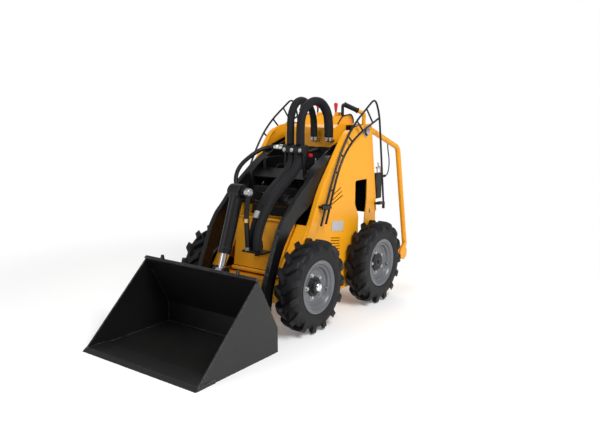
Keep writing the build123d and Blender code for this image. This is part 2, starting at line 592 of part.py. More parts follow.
def build():
    """Write every node."""
    os.makedirs("parts", exist_ok=True)
    for end, x in (("front", 0.0), ("rear", -WHEELBASE)):
        centre = (x, WHEEL_RADIUS)
        for side, turn in (("left", lambda shape: shape), ("right", mirrored)):
            export("tyre_" + end + "_" + side, turn(tyre(centre)))
            export("rim_" + end + "_" + side, turn(rim(centre)))
    motors = [wheel_motor((x, WHEEL_RADIUS)) for x in (0.0, -WHEELBASE)]
    export("wheel_motors", together(motors + [mirrored(motor) for motor in motors]))
    export("lower_frame", lower_frame())
    export("side_panels", both_sides(side_panel()))
    export("tower_frame", tower_frame())
    export("bulkhead", bulkhead())
    export("nose_tank", nose_tank())
    export("front_panel", front_panel())
    export("engine", engine())
    export("muffler", muffler())
    export("air_filter", air_filter())
    export("hood", hood())
    export("top_deck", top_deck())
    export("rear_panel", rear_panel())
    export("console", console())
    export("control_levers", control_levers())
    export("handlebar", both_sides(handlebar()))
    export("handle_grips", both_sides(handle_grip()))
    export("side_guards", both_sides(side_guard()))
    export("rear_frame", rear_frame())
    export("holder_box", holder_box())
    export("lift_arms", both_sides(lift_arm()))
    export("arm_cross", arm_cross())
    export("arm_pivot_pins", both_sides(arm_pivot_pin()))
    export("lift_shaft", cross_bar(LIFT_BASE, SHAFT_RADIUS, SHEET - LOWER_Y, LOWER_Y - SHEET))
    reach = distance(LIFT_BASE, LIFT_EYE)
    for side, sign in (("left", 1), ("right", -1)):
        half = (ARM_OUTER_Y - ARM_INNER_Y) / 2 - ARM_PLATE
        lift_barrel = barrel(LIFT_BARREL_RADIUS, LIFT_BARREL_LENGTH, 24, LIFT_ROD_RADIUS)
        export("lift_barrel_" + side, set_cylinder(lift_barrel, LIFT_BASE, LIFT_EYE, sign * LIFT_Y))
        lift_rod = rod(LIFT_ROD_RADIUS, LIFT_ROD_TAIL, reach, 24, half - EYE_GAP, half - 0.5,
                       LIFT_BARREL_RADIUS - CYLINDER_WALL - PISTON_GAP)
        export("lift_rod_" + side, set_cylinder(lift_rod, LIFT_BASE, LIFT_EYE, sign * LIFT_Y))
    reach = distance(TILT_BASE, TILT_EYE)
    tilt_barrel = barrel(TILT_BARREL_RADIUS, TILT_BARREL_LENGTH, TILT_BARREL_RADIUS + 3, TILT_ROD_RADIUS)
    export("tilt_barrel", set_cylinder(tilt_barrel, TILT_BASE, TILT_EYE, 0))
    tilt_rod = rod(TILT_ROD_RADIUS, TILT_ROD_TAIL, reach, 22, 22, 25.5,
                   TILT_BARREL_RADIUS - CYLINDER_WALL - PISTON_GAP)
    export("tilt_rod", set_cylinder(tilt_rod, TILT_BASE, TILT_EYE, 0))
    export("quick_hitch", quick_hitch())
    export("bucket", bucket())
    export("hose_clamp", hose_clamp())
    export("couplers", couplers())
    export("hose_fittings", hose_fittings())
    export("hose_bracket", hose_bracket())
    export("hose_arch_left", cord(HOSE_BIG, SLEEVE_RADIUS))
    export("hose_arch_right", cord(HOSE_SMALL, SLEEVE_RADIUS - 5))
    export("sleeve_left", cord(SLEEVE_ONE, SLEEVE_RADIUS))
    export("sleeve_right", cord(SLEEVE_TWO, SLEEVE_RADIUS - 5))
    export("aux_loop", cord(AUX_LOOP, LOOP_RADIUS))
    export("stop_cable", cord(STOP_CABLE, CABLE_RADIUS))


FRONT_AXLE_X = front_axle_x()
build()
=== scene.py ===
"""Looks of the mini wheel loader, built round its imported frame. Metres, +X forward, +Y left, +Z up."""
import math

import bmesh
import bpy
import numpy as np
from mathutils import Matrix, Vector
from mathutils.geometry import delaunay_2d_cdt, tessellate_polygon


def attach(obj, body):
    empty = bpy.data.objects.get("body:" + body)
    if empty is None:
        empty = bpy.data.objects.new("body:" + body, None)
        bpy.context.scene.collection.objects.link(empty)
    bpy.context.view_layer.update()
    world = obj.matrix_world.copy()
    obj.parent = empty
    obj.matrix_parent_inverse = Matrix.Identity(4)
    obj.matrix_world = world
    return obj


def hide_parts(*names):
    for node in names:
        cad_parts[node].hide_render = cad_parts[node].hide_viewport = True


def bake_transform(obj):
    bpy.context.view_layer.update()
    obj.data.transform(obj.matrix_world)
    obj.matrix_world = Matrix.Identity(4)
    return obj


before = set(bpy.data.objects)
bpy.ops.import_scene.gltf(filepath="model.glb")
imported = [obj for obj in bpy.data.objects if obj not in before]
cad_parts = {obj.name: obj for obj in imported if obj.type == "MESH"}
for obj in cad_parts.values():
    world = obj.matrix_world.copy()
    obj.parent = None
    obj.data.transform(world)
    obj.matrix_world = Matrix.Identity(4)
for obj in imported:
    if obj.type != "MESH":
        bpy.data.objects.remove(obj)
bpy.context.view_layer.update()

AXLE_X = 0.16519           # front axle in the row frame; x below is counted from it where a table says so
WHEEL_RADIUS = 0.2525


# Camera

def aim_camera():
    """Camera where the photograph was taken from: yaw 216.27, pitch 10.55 down, 39.07 mm on a 36 mm sensor."""
    data = bpy.data.cameras.new("camera")
    camera = bpy.data.objects.new("camera", data)
    bpy.context.scene.collection.objects.link(camera)
    yaw, pitch, roll = (math.radians(value) for value in (216.27, 10.55, 0.085))
    forward = Vector((math.cos(yaw) * math.cos(pitch), math.sin(yaw) * math.cos(pitch), -math.sin(pitch)))
    turn = forward.to_track_quat("-Z", "Y").to_matrix()
    spin = np.array([[math.cos(roll), -math.sin(roll), 0], [math.sin(roll), math.cos(roll), 0], [0, 0, 1]])
    camera.matrix_world = (type(turn)(np.array(turn) @ spin)).to_4x4()
    camera.location = (2.758 + AXLE_X, 2.294, 1.232)
    data.sensor_width = 36.0
    data.lens = 39.07
    data.clip_start = 0.05
    data.clip_end = 60.0
    bpy.context.scene.camera = camera


# Meshes from arrays

def new_piece(name, mesh):
    """Object at the origin that holds a mesh."""
    piece = bpy.data.objects.new(name, mesh)
    bpy.context.scene.collection.objects.link(piece)
    return piece


def outward(mesh, merge=0.0):
    """Merge doubles closer than a distance, if one is given, and turn all faces outwards."""
    build = bmesh.new()
    build.from_mesh(mesh)
    if merge:
        bmesh.ops.remove_doubles(build, verts=build.verts, dist=merge)
    bmesh.ops.recalc_face_normals(build, faces=build.faces)
    build.to_mesh(mesh)
    build.free()


def grid_faces(rows, columns, closed):
    """Quads between neighbouring rows of a grid of points; closed joins the last column to the first."""
    across = columns if closed else columns - 1
    i, j = np.meshgrid(np.arange(rows - 1), np.arange(across), indexing="ij")
    after = (j + 1) % columns
    quads = np.stack([i * columns + j, i * columns + after, (i + 1) * columns + after, (i + 1) * columns + j], -1)
    return quads.reshape(-1, 4)


def spline_line(points, samples):
    """Points along the route's own NURBS spline of order 3."""
    curve = bpy.data.curves.new("route", "CURVE")
    curve.dimensions = "3D"
    spline = curve.splines.new("NURBS")
    spline.points.add(len(points) - 1)
    spline.points.foreach_set("co", np.hstack([points, np.ones((len(points), 1))]).ravel())
    spline.order_u = 3
    spline.use_endpoint_u = True
    curve.resolution_u = samples
    holder = new_piece("route", curve)
    bpy.context.view_layer.update()
    mesh = bpy.data.meshes.new_from_object(holder.evaluated_get(bpy.context.evaluated_depsgraph_get()))
    line = np.zeros(len(mesh.vertices) * 3)
    mesh.vertices.foreach_get("co", line)
    bpy.data.objects.remove(holder)
    bpy.data.curves.remove(curve)
    return line.reshape(-1, 3)


def frames_along(line):
    """Side and up of a line of points, both square to its run: the side is kept level."""
    tangent = np.gradient(line, axis=0)
    tangent /= np.linalg.norm(tangent, axis=1, keepdims=True)
    side = np.cross(tangent, (0.0, 0.0, 1.0))
    guide = side[np.argmax(np.linalg.norm(side, axis=1))]
    flip = np.sign((side @ guide))[:, None]
    side = np.where(np.linalg.norm(side, axis=1, keepdims=True) > 0.15, side * np.where(flip == 0, 1, flip), guide)
    side -= tangent * np.sum(side * tangent, axis=1, keepdims=True)
    side /= np.linalg.norm(side, axis=1, keepdims=True)
    return side, np.cross(side, tangent)


def lengths_along(line):
    """Distance of each point from the line's start, measured along the line."""
    return np.concatenate([[0.0], np.cumsum(np.linalg.norm(np.diff(line, axis=0), axis=1))])


def tube_along(name, line, radius, around=24, radius_of=None):
    """Tube round a line of points: centre + radius * (cos a * side + sin a * up), closed at both ends.
    radius_of(along, angle) multiplies the radius. UV: v is metres along, u is turns round."""
    side, up = frames_along(line)
    along = lengths_along(line)
    turn = np.arange(around)
    angle = turn * (2 * math.pi / around)
    swell = np.ones((len(line), around))
    if radius_of is not None:
        swell = radius_of(along[:, None], angle[None, :])
    offset = np.cos(angle)[None, :, None] * side[:, None] + np.sin(angle)[None, :, None] * up[:, None]
    points = (line[:, None] + offset * (radius * swell)[:, :, None]).reshape(-1, 3)
    faces = grid_faces(len(line), around, closed=True)
    uv = np.stack([np.tile(turn / around, len(line))[faces], np.repeat(along, around)[faces]], -1)
    wrapped = uv[:, :, 0].max(1) - uv[:, :, 0].min(1) > 0.5
    uv[wrapped, :, 0] = np.where(uv[wrapped, :, 0] < 0.5, uv[wrapped, :, 0] + 1, uv[wrapped, :, 0])
    ends = [turn.tolist(), ((len(line) - 1) * around + turn[::-1]).tolist()]
    mesh = bpy.data.meshes.new(name)
    mesh.from_pydata(points.tolist(), [], faces.tolist() + ends)
    uv = np.concatenate([uv.reshape(-1, 2), np.zeros((2 * around, 2))]).astype(np.float32)
    mesh.uv_layers.new(name="UVMap").data.foreach_set("uv", uv.ravel())
    mesh.polygons.foreach_set("use_smooth", np.arange(len(mesh.polygons)) < len(faces))
    outward(mesh)
    return new_piece(name, mesh)


# Parts as arrays: every maker returns (points, faces), and a piece joins as many as it needs

def soften(line, radius, steps=4):
    """Line with each corner replaced by a short curve: a to corner to b as a quadratic, a and b up to radius away."""
    line = np.array(line, float)
    radii = np.broadcast_to(radius, len(line))
    out = [line[0]]
    for before, here, after, reach in zip(line, line[1:], line[2:], radii[1:]):
        run_in, run_out = before - here, after - here
        a = here + run_in * min(0.45, reach / np.linalg.norm(run_in))
        b = here + run_out * min(0.45, reach / np.linalg.norm(run_out))
        share = np.linspace(0, 1, steps + 1)[:, None]
        out.extend((1 - share) ** 2 * a + 2 * share * (1 - share) * here + share ** 2 * b)
    return np.array(out + [line[-1]])


def lathe(profile, around=48):
    """Surface of revolution about y: each (radius, y) row becomes a ring."""
    profile = np.array(profile, float)
    angle = np.arange(around) * (2 * math.pi / around)
    radius, along = profile[:, :1], profile[:, 1:]
    points = np.stack([radius * np.sin(angle), along + 0 * angle, radius * np.cos(angle)], -1)
    return points.reshape(-1, 3), grid_faces(len(profile), around, closed=True).tolist()


def aimed(part, origin, direction=(0.0, 1.0, 0.0)):
    """Part turned so that its own y points along direction, with its origin set in place."""
    y = np.array(direction, float) / np.linalg.norm(direction)
    guide = (0.0, 0.0, 1.0) if abs(y[2]) < 0.9 else (1.0, 0.0, 0.0)
    x = np.cross(y, guide)
    x /= np.linalg.norm(x)
    turn = np.stack([x, y, np.cross(x, y)])
    return part[0] @ turn + origin, part[1]


def closed(points, radius, steps=4):
    """Closed outline with every corner eased."""
    return [tuple(point) for point in soften(points[-1:] + points + points[:1], radius, steps)[1:-1]]


def shifted(part, move):
    """Part moved by three numbers."""
    return part[0] + np.array(move, float), part[1]


def opposite(part):
    """Mirror image on the machine's other side."""
    return part[0] * (1.0, -1.0, 1.0), [face[::-1] for face in part[1]]


def both_sides(parts):
    """Parts and their mirror images."""
    return parts + [opposite(part) for part in parts]


def rod(start, end, radius, around=20, edge=0.001):
    """Round bar between two points with eased ends."""
    start, end = np.array(start, float), np.array(end, float)
    length = np.linalg.norm(end - start)
    profile = [(0, 0), (radius - edge, 0), (radius, edge), (radius, length - edge), (radius - edge, length),
               (0, length)]
    return aimed(lathe(profile, around), start, end - start)


def pipe(line, radius, around=14):
    """Round tube round a line of points, closed at both ends."""
    line = np.array(line, float)
    side, up = frames_along(line)
    angle = np.arange(around) * (2 * math.pi / around)
    ring = np.cos(angle)[None, :, None] * side[:, None] + np.sin(angle)[None, :, None] * up[:, None]
    radii = np.broadcast_to(radius, len(line))[:, None, None]
    points = (line[:, None] + ring * radii).reshape(-1, 3)
    faces = grid_faces(len(line), around, closed=True).tolist()
    last = (len(line) - 1) * around
    return points, faces + [list(range(around)), list(range(last + around - 1, last - 1, -1))]


def slab(outline, y_low, y_high):
    """Flat plate with an outline in x and z between two planes of y."""
    outline = np.array(outline, float)
    count = len(outline)
    points = np.vstack([np.column_stack([outline[:, 0], np.full(count, y), outline[:, 1]]) for y in (y_low, y_high)])
    after = (np.arange(count) + 1) % count
    walls = np.stack([np.arange(count), after, after + count, np.arange(count) + count], -1).tolist()
    flat = tessellate_polygon([[Vector((x, z, 0)) for x, z in outline]])
    caps = [list(face) for face in flat] + [[index + count for index in face][::-1] for face in flat]
    return points, walls + caps


def clip(outline, x_low, x_high):
    """Part of an outline between two upright lines."""
    for limit, sign in ((x_low, 1), (x_high, -1)):
        kept = []
        for here, after in zip(outline, outline[1:] + outline[:1]):
            a, b = (here[0] - limit) * sign, (after[0] - limit) * sign
            if a >= 0:
                kept.append(tuple(here))
            if a * b < 0:
                share = a / (a - b)
                kept.append((here[0] + (after[0] - here[0]) * share, here[1] + (after[1] - here[1]) * share))
        outline = kept
    return outline


def inside(points, outline):
    """Which points lie within a closed outline: an odd count of its edges lies to their right."""
    outline = np.array(outline, float)
    ends = np.roll(outline, -1, axis=0)
    x, z = points[:, :1], points[:, 1:]
    cross = (outline[:, 1] > z) != (ends[:, 1] > z)
    rise = np.where(ends[:, 1] == outline[:, 1], 1e-12, ends[:, 1] - outline[:, 1])
    at = outline[:, 0] + (z - outline[:, 1]) / rise * (ends[:, 0] - outline[:, 0])
    return (cross & (x < at)).sum(1) % 2 == 1


def pressed_sheet(outline, holes, lines, outer_y, thick):
    """Sheet with cut-outs, bent along lines: y of its outer face is outer_y(x, z), its inner face lies thick behind."""
    coords, edges = [], []
    for ring in [outline] + holes:
        start = len(coords)
        coords.extend(Vector(point) for point in ring)
        edges.extend((start + i, start + (i + 1) % len(ring)) for i in range(len(ring)))
    for line in lines:
        start = len(coords)
        coords.extend(Vector(point) for point in line)
        edges.extend((start + i, start + i + 1) for i in range(len(line) - 1))
    found = delaunay_2d_cdt(coords, edges, [], 0, 1e-7)
    flat = np.array([tuple(point) for point in found[0]])
    faces = np.array([list(face) for face in found[2]])
    middle = flat[faces].mean(1)
    keep = inside(middle, outline)
    for hole in holes:
        keep &= ~inside(middle, hole)
    faces = faces[keep]
    y = outer_y(flat[:, 0], flat[:, 1])
    points = np.vstack([np.column_stack([flat[:, 0], face_y, flat[:, 1]]) for face_y in (y, y - thick)])
    rim = np.vstack([faces[:, [0, 1]], faces[:, [1, 2]], faces[:, [2, 0]]])
    key = {tuple(edge) for edge in rim.tolist()}
    rim = [edge for edge in rim.tolist() if (edge[1], edge[0]) not in key]
    count = len(flat)
    walls = [[a, b, b + count, a + count] for a, b in rim]
    return points, faces.tolist() + (faces[:, ::-1] + count).tolist() + walls


def build_piece(name, parts, material, body, stands_for=(), crease=35.0):
    """One object from several parts: joined, doubles merged, normals outwards, smooth but for creases."""
    points, faces, count = [], [], 0
    for part_points, part_faces in parts:
        points.append(part_points)
        faces.extend([index + count for index in face] for face in part_faces)
        count += len(part_points)
    mesh = bpy.data.meshes.new(name)
    mesh.from_pydata(np.vstack(points).tolist(), [], faces)
    outward(mesh, merge=2e-6)
    mesh.polygons.foreach_set("use_smooth", np.ones(len(mesh.polygons), bool))
    mesh.set_sharp_from_angle(angle=math.radians(crease))
    mesh.materials.append(material)
    piece = new_piece(name, mesh)
    if stands_for:
        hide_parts(*stands_for)
    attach(piece, body)
    return piece


def mm(*rows):
    """Millimetre table as metres."""
    return np.array(rows, float) / 1000


def at(x, y, z):
    """Millimetres counted from the front axle, as a point of the row frame in metres."""
    return np.array((x / 1000 + AXLE_X, y / 1000, z / 1000))


def placed(rows):
    """Millimetre rows of x, y and z as points of the row frame in metres."""
    return mm(*rows) + (AXLE_X, 0.0, 0.0)


def side_view(*rows):
    """Outline in x and z, millimetres from the front axle, as a list of points of the row frame."""
    return [(x / 1000 + AXLE_X, z / 1000) for x, z in rows]


# Shader groups

def new_group(name, inputs, outputs):
    """Empty shader group with named inputs (name, kind, default) and outputs (name, kind)."""
    group = bpy.data.node_groups.new(name, "ShaderNodeTree")
    for label, kind, default in inputs:
        socket = group.interface.new_socket(label, in_out="INPUT", socket_type="NodeSocket" + kind)
        if default is not None:
            socket.default_value = default
    for label, kind in outputs:
        group.interface.new_socket(label, in_out="OUTPUT", socket_type="NodeSocket" + kind)
    return group, group.nodes.new("NodeGroupInput"), group.nodes.new("NodeGroupOutput")


class Net:
    """Short calls for a node tree: add a node, set its sockets from values or other sockets."""

    def __init__(self, tree):
        self.tree = tree

    def add(self, kind, settings=None, **sockets):
        """New node of a kind; settings are node properties, sockets are input names or in0, in1 for numbered inputs."""
        node = self.tree.nodes.new("ShaderNode" + kind)
        for key, value in (settings or {}).items():
            setattr(node, key, value)
        for key, value in sockets.items():
            self.put(node, key, value)
        return node

    def put(self, node, key, value):
        """Link a socket to an input, or set its default."""
        if key.startswith("in") and key[2:].isdigit():
            socket = node.inputs[int(key[2:])]
        else:
            socket = node.inputs[key.replace("_", " ")]
        if isinstance(value, bpy.types.NodeSocket):
            self.tree.links.new(value, socket)
        else:
            socket.default_value = value

    def math(self, operation, a, b=0.0, clamp=False):
        """Value of a math operation on two values or sockets."""
        node = self.add("Math", {"operation": operation, "use_clamp": clamp})
        self.put(node, "in0", a)
        self.put(node, "in1", b)
        return node.outputs[0]

    def ramp(self, value, low, high):
        """0 below low, 1 above high, smooth between."""
        node = self.add("MapRange", {"interpolation_type": "SMOOTHSTEP"})
        for key, item in (("in0", value), ("in1", low), ("in2", high)):
            self.put(node, key, item)
        return node.outputs[0]

    def mix(self, factor, a, b):
        """Colour between a and b."""
        node = self.add("Mix", {"data_type": "RGBA"})
        for index, item in ((0, factor), (6, a), (7, b)):
            if isinstance(item, bpy.types.NodeSocket):
                self.tree.links.new(item, node.inputs[index])
            else:
                node.inputs[index].default_value = item
        return node.outputs[2]

    def noise(self, place, scale, detail=3.0, roughness=0.5):
        """Value noise at a scale in cycles a metre."""
        node = self.add("TexNoise", Scale=scale, Detail=detail, Roughness=roughness)
        if place is not None:
            self.put(node, "Vector", place)
        return node.outputs["Fac"]


def rgb(value):
    """Linear colour from three numbers, with alpha 1."""
    return (*value, 1.0)


def edge_wear_group():
    """Mask of worn edges: where a rounded normal leaves the true one, broken up by noise.
    Outputs the mask and the rounded normal."""
    group, entry, leave = new_group("edge_wear", [("Radius", "Float", 0.002), ("Amount", "Float", 0.5),
                                                  ("Break", "Float", 90.0)],
                                    [("Mask", "Float"), ("Normal", "Vector")])
    net = Net(group)
    soft = net.add("Bevel", {"samples": 4}, Radius=entry.outputs["Radius"])
    truth = net.add("NewGeometry")
    dot = net.add("VectorMath", {"operation": "DOT_PRODUCT"}, in0=soft.outputs[0], in1=truth.outputs["Normal"])
    bent = net.math("SUBTRACT", 1.0, dot.outputs["Value"])
    place = net.add("TexCoord").outputs["Object"]
    patchy = net.noise(place, entry.outputs["Break"], 5.0, 0.65)
    limit = net.math("SUBTRACT", 0.62, net.math("MULTIPLY", entry.outputs["Amount"], 0.3))
    chips = net.ramp(patchy, limit, net.math("ADD", limit, 0.06))
    edge = net.ramp(bent, 0.03, 0.16)
    group.links.new(net.math("MULTIPLY", chips, edge), leave.inputs["Mask"])
    group.links.new(soft.outputs[0], leave.inputs["Normal"])
    return group


def dust_group():
    """Mask of fine dust: more on faces that look up and near the ground, broken up by noise."""
    group, entry, leave = new_group("dust", [("Amount", "Float", 0.3)], [("Mask", "Float")])
    net = Net(group)
    geometry = net.add("NewGeometry")
    up = net.add("SeparateXYZ", in0=geometry.outputs["Normal"]).outputs["Z"]
    place = net.add("TexCoord").outputs["Object"]
    height = net.add("SeparateXYZ", in0=place).outputs["Z"]
    low = net.math("SUBTRACT", 1.0, net.ramp(height, 0.02, 0.45))
    cloud = net.noise(place, 7.0, 5.0, 0.6)
    total = net.math("ADD", net.math("MULTIPLY", net.ramp(up, 0.2, 1.0), 0.5), net.math("MULTIPLY", low, 0.6))
    mask = net.math("MULTIPLY", net.math("MULTIPLY", total, cloud), entry.outputs["Amount"], clamp=True)
    group.links.new(mask, leave.inputs["Mask"])
    return group


EDGE_WEAR = edge_wear_group()
DUST = dust_group()


def start_material(name):
    """New material with its net, its Principled shader and its object coordinates."""
    material = bpy.data.materials.new(name)
    material.use_nodes = True
    material.node_tree.nodes.clear()
    net = Net(material.node_tree)
    shader = net.add("BsdfPrincipled")
    leave = net.add("OutputMaterial")
    net.tree.links.new(shader.outputs[0], leave.inputs[0])
    return material, net, shader, net.add("TexCoord").outputs["Object"]


def group_node(net, group, **sockets):
    """Place a shader group with its values."""
    node = net.add("Group", {"node_tree": group})
    for key, value in sockets.items():
        node.inputs[key].default_value = value
    return node


PEEL = 0.00006             # depth of the orange peel
GRAIN = 0.00004            # depth of a metal's grain
PORES = 0.00005            # depth of moulded rubber's pores
THREADS = 0.0004           # depth of woven threads


def paint(name, colour, shade, worn, roughness=0.32, radius=0.0025, wear=0.35, dust=0.25, coat=0.25, gloss=0.5):
    """Enamel on steel: two close shades, orange peel, dust low down and on top faces, worn edges."""
    material, net, shader, place = start_material(name)
    edges = group_node(net, EDGE_WEAR, Radius=radius, Amount=wear)
    dusty = group_node(net, DUST, Amount=dust)
    tone = net.mix(net.noise(place, 3.0, 3.0), rgb(colour), rgb(shade))
    tone = net.mix(dusty.outputs["Mask"], tone, rgb((0.42, 0.38, 0.32)))
    tone = net.mix(edges.outputs["Mask"], tone, rgb(worn))
    net.put(shader, "Base_Color", tone)
    rough = net.math("ADD", roughness, net.math("MULTIPLY", net.noise(place, 40.0, 4.0), 0.12))
    rough = net.math("ADD", rough, net.math("MULTIPLY", dusty.outputs["Mask"], 0.4), clamp=True)
    net.put(shader, "Roughness", rough)
    shader.inputs["Coat Weight"].default_value = coat
    shader.inputs["Specular IOR Level"].default_value = gloss
    shader.inputs["Coat Roughness"].default_value = 0.12
    bump = net.add("Bump", Strength=1.0, Distance=PEEL, Height=net.noise(place, 420.0, 2.0),
                   Normal=edges.outputs["Normal"])
    net.put(shader, "Normal", bump.outputs[0])
    return material


def bare_metal(name, colour, roughness, grain=300.0):
    """Plain or plated metal: fine grain, soft smudges and rounded edges."""
    material, net, shader, place = start_material(name)
    edges = group_node(net, EDGE_WEAR, Radius=0.0012, Amount=0.3)
    smudge = net.noise(place, 22.0, 5.0, 0.6)
    dark = tuple(value * 0.72 for value in colour)
    tone = net.mix(smudge, rgb(colour), rgb(dark))
    net.put(shader, "Base_Color", tone)
    shader.inputs["Metallic"].default_value = 1.0
    rough = net.math("ADD", roughness, net.math("MULTIPLY", smudge, 0.16), clamp=True)
    net.put(shader, "Roughness", rough)
    bump = net.add("Bump", Strength=0.6, Distance=GRAIN, Height=net.noise(place, grain, 2.0),
                   Normal=edges.outputs["Normal"])
    net.put(shader, "Normal", bump.outputs[0])
    return material


def soft_black(name, colour, roughness, pores=900.0, dust=0.3, gloss=0.35):
    """Moulded rubber or plastic: fine pores, faint dust, no wear."""
    material, net, shader, place = start_material(name)
    dusty = group_node(net, DUST, Amount=dust)
    tone = net.mix(net.noise(place, 12.0, 4.0), rgb(colour), rgb(tuple(value * 1.7 for value in colour)))
    tone = net.mix(dusty.outputs["Mask"], tone, rgb((0.30, 0.28, 0.25)))
    net.put(shader, "Base_Color", tone)
    rough = net.math("ADD", roughness, net.math("MULTIPLY", net.noise(place, 60.0, 4.0), 0.15), clamp=True)
    net.put(shader, "Roughness", rough)
    shader.inputs["Specular IOR Level"].default_value = gloss
    edges = group_node(net, EDGE_WEAR, Radius=0.0015, Amount=0.0)
    bump = net.add("Bump", Strength=1.0, Distance=PORES, Height=net.noise(place, pores, 2.0),
                   Normal=edges.outputs["Normal"])
    net.put(shader, "Normal", bump.outputs[0])
    return material


def woven(name, colour, across=64.0, along=420.0):
    """Braided sleeve on the tube's own UV: two sets of slanted threads, over and under each other."""
    material, net, shader, _ = start_material(name)
    uv = net.add("TexCoord").outputs["UV"]
    parts = net.add("SeparateXYZ", in0=uv)
    u = net.math("MULTIPLY", parts.outputs["X"], across * math.pi)
    v = net.math("MULTIPLY", parts.outputs["Y"], along * math.pi)
    one = net.math("ABSOLUTE", net.math("SINE", net.math("ADD", u, v)))
    two = net.math("ABSOLUTE", net.math("SINE", net.math("SUBTRACT", u, v)))
    height = net.math("MULTIPLY", net.math("ADD", one, two), 0.5)
    fuzz = net.noise(uv, 30.0, 3.0)
    # Thread crowns lighter and the grooves between threads darker: painted light and shade from the threads' height;
    # the fuzz adds a random tone
    shade = net.math("ADD", net.math("MULTIPLY", height, 0.7), net.math("MULTIPLY", fuzz, 0.5), clamp=True)
    tone = net.mix(shade, rgb(tuple(value * 0.45 for value in colour)), rgb(tuple(value * 1.5 for value in colour)))
    net.put(shader, "Base_Color", tone)
    shader.inputs["Roughness"].default_value = 0.72
    shader.inputs["Sheen Weight"].default_value = 0.04
    shader.inputs["Specular IOR Level"].default_value = 0.25
    bump = net.add("Bump", Strength=0.8, Distance=THREADS, Height=height)
    net.put(shader, "Normal", bump.outputs[0])
    return material


YELLOW = paint("yellow_enamel", (0.98, 0.42, 0.012), (0.94, 0.39, 0.010), (1.0, 0.60, 0.12), roughness=0.30, wear=0.1,
               dust=0.02, coat=0.08, gloss=0.3)
BLACK = paint("black_enamel", (0.004, 0.004, 0.0045), (0.006, 0.006, 0.007), (0.16, 0.16, 0.165), roughness=0.30,
              wear=0.35, dust=0.02, coat=0.05, gloss=0.3)
BUCKET_BLACK = paint("bucket_enamel", (0.003, 0.003, 0.0033), (0.0045, 0.0045, 0.005), (0.24, 0.24, 0.245),
                     roughness=0.34, wear=0.55, dust=0.02, radius=0.003, coat=0.0)
GUARD_BLACK = paint("guard_enamel", (0.005, 0.005, 0.0055), (0.008, 0.008, 0.009), (0.30, 0.30, 0.31), roughness=0.28,
                    wear=0.2, dust=0.02, radius=0.0012, coat=0.1, gloss=0.3)
SILVER = paint("rim_enamel", (0.135, 0.14, 0.155), (0.11, 0.115, 0.125), (0.34, 0.34, 0.34), roughness=0.28, wear=0.15,
               dust=0.08, coat=0.3)
DARK_STEEL = paint("dark_steel", (0.012, 0.012, 0.013), (0.02, 0.02, 0.021), (0.16, 0.16, 0.16), roughness=0.45,
                   wear=0.3, dust=0.05, coat=0.0, gloss=0.3)
ENGINE_BLACK = paint("engine_black", (0.004, 0.004, 0.0045), (0.008, 0.008, 0.009), (0.05, 0.05, 0.05), roughness=0.5,
                     wear=0.2, dust=0.0, coat=0.0, gloss=0.2)
ZINC = bare_metal("zinc_plate", (0.62, 0.62, 0.63), 0.26)
CHROME = bare_metal("hard_chrome", (0.80, 0.80, 0.82), 0.08, grain=700.0)
BRASS = bare_metal("brass", (0.80, 0.55, 0.22), 0.25)
RUBBER = soft_black("tyre_rubber", (0.008, 0.008, 0.0092), 0.42, dust=0.03, gloss=0.18)
HOSE_RUBBER = soft_black("hose_rubber", (0.006, 0.006, 0.0065), 0.38, dust=0.02, gloss=0.25)
GRIP = soft_black("grip_rubber", (0.008, 0.008, 0.009), 0.42, dust=0.03, gloss=0.3)
KNOB = soft_black("red_knob", (0.50, 0.01, 0.02), 0.18, pores=200.0, dust=0.0, gloss=0.5)
SLEEVE = woven("hose_sleeve", (0.006, 0.0062, 0.0075))
WHITE_CLOTH = woven("white_band", (0.62, 0.62, 0.60), across=40.0, along=300.0)
BARE_PLATE = paint("bare_plate", (0.55, 0.55, 0.57), (0.48, 0.48, 0.50), (0.6, 0.6, 0.6), roughness=0.4, wear=0.1,
                   dust=0.0)
HUB_BLACK = paint("hub_black", (0.006, 0.007, 0.007), (0.01, 0.012, 0.011), (0.1, 0.1, 0.1), roughness=0.4, wear=0.2,
                  dust=0.05, coat=0.0)
CAP_METAL = bare_metal("cap_metal", (0.92, 0.92, 0.90), 0.16)
CABLE = soft_black("cable_cover", (0.05, 0.05, 0.055), 0.35, dust=0.02)

NODE_LOOKS = {
    YELLOW: ("side_panels", "lower_frame", "bulkhead", "nose_tank", "hood", "top_deck", "rear_panel", "console",
             "handlebar", "rear_frame"),
    ENGINE_BLACK: ("tower_frame", "engine", "muffler", "air_filter", "front_panel"),
    BLACK: ("lift_arms", "arm_cross", "quick_hitch", "hose_clamp", "hose_bracket", "lift_barrel_left",
            "lift_barrel_right", "tilt_barrel"),
    BUCKET_BLACK: ("bucket",),
    GUARD_BLACK: ("side_guards",),
    DARK_STEEL: ("holder_box", "wheel_motors"),
    ZINC: ("arm_pivot_pins", "couplers", "hose_fittings", "lift_shaft"),
    CHROME: ("lift_rod_left", "lift_rod_right", "tilt_rod"),
    GRIP: ("handle_grips",),
    KNOB: ("control_levers",),
}


def dress_nodes():
    """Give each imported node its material."""
    looks = {node: material for material, nodes in NODE_LOOKS.items() for node in nodes}
    for node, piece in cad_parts.items():
        if node.startswith("rim_"):
            material = SILVER
        elif node.startswith("tyre_"):
            material = RUBBER
        else:
            material = looks.get(node, BLACK)
        piece.data.materials.clear()
        piece.data.materials.append(material)


# Hoses and the cable: x, y and z of each route in millimetres, x counted from the front axle

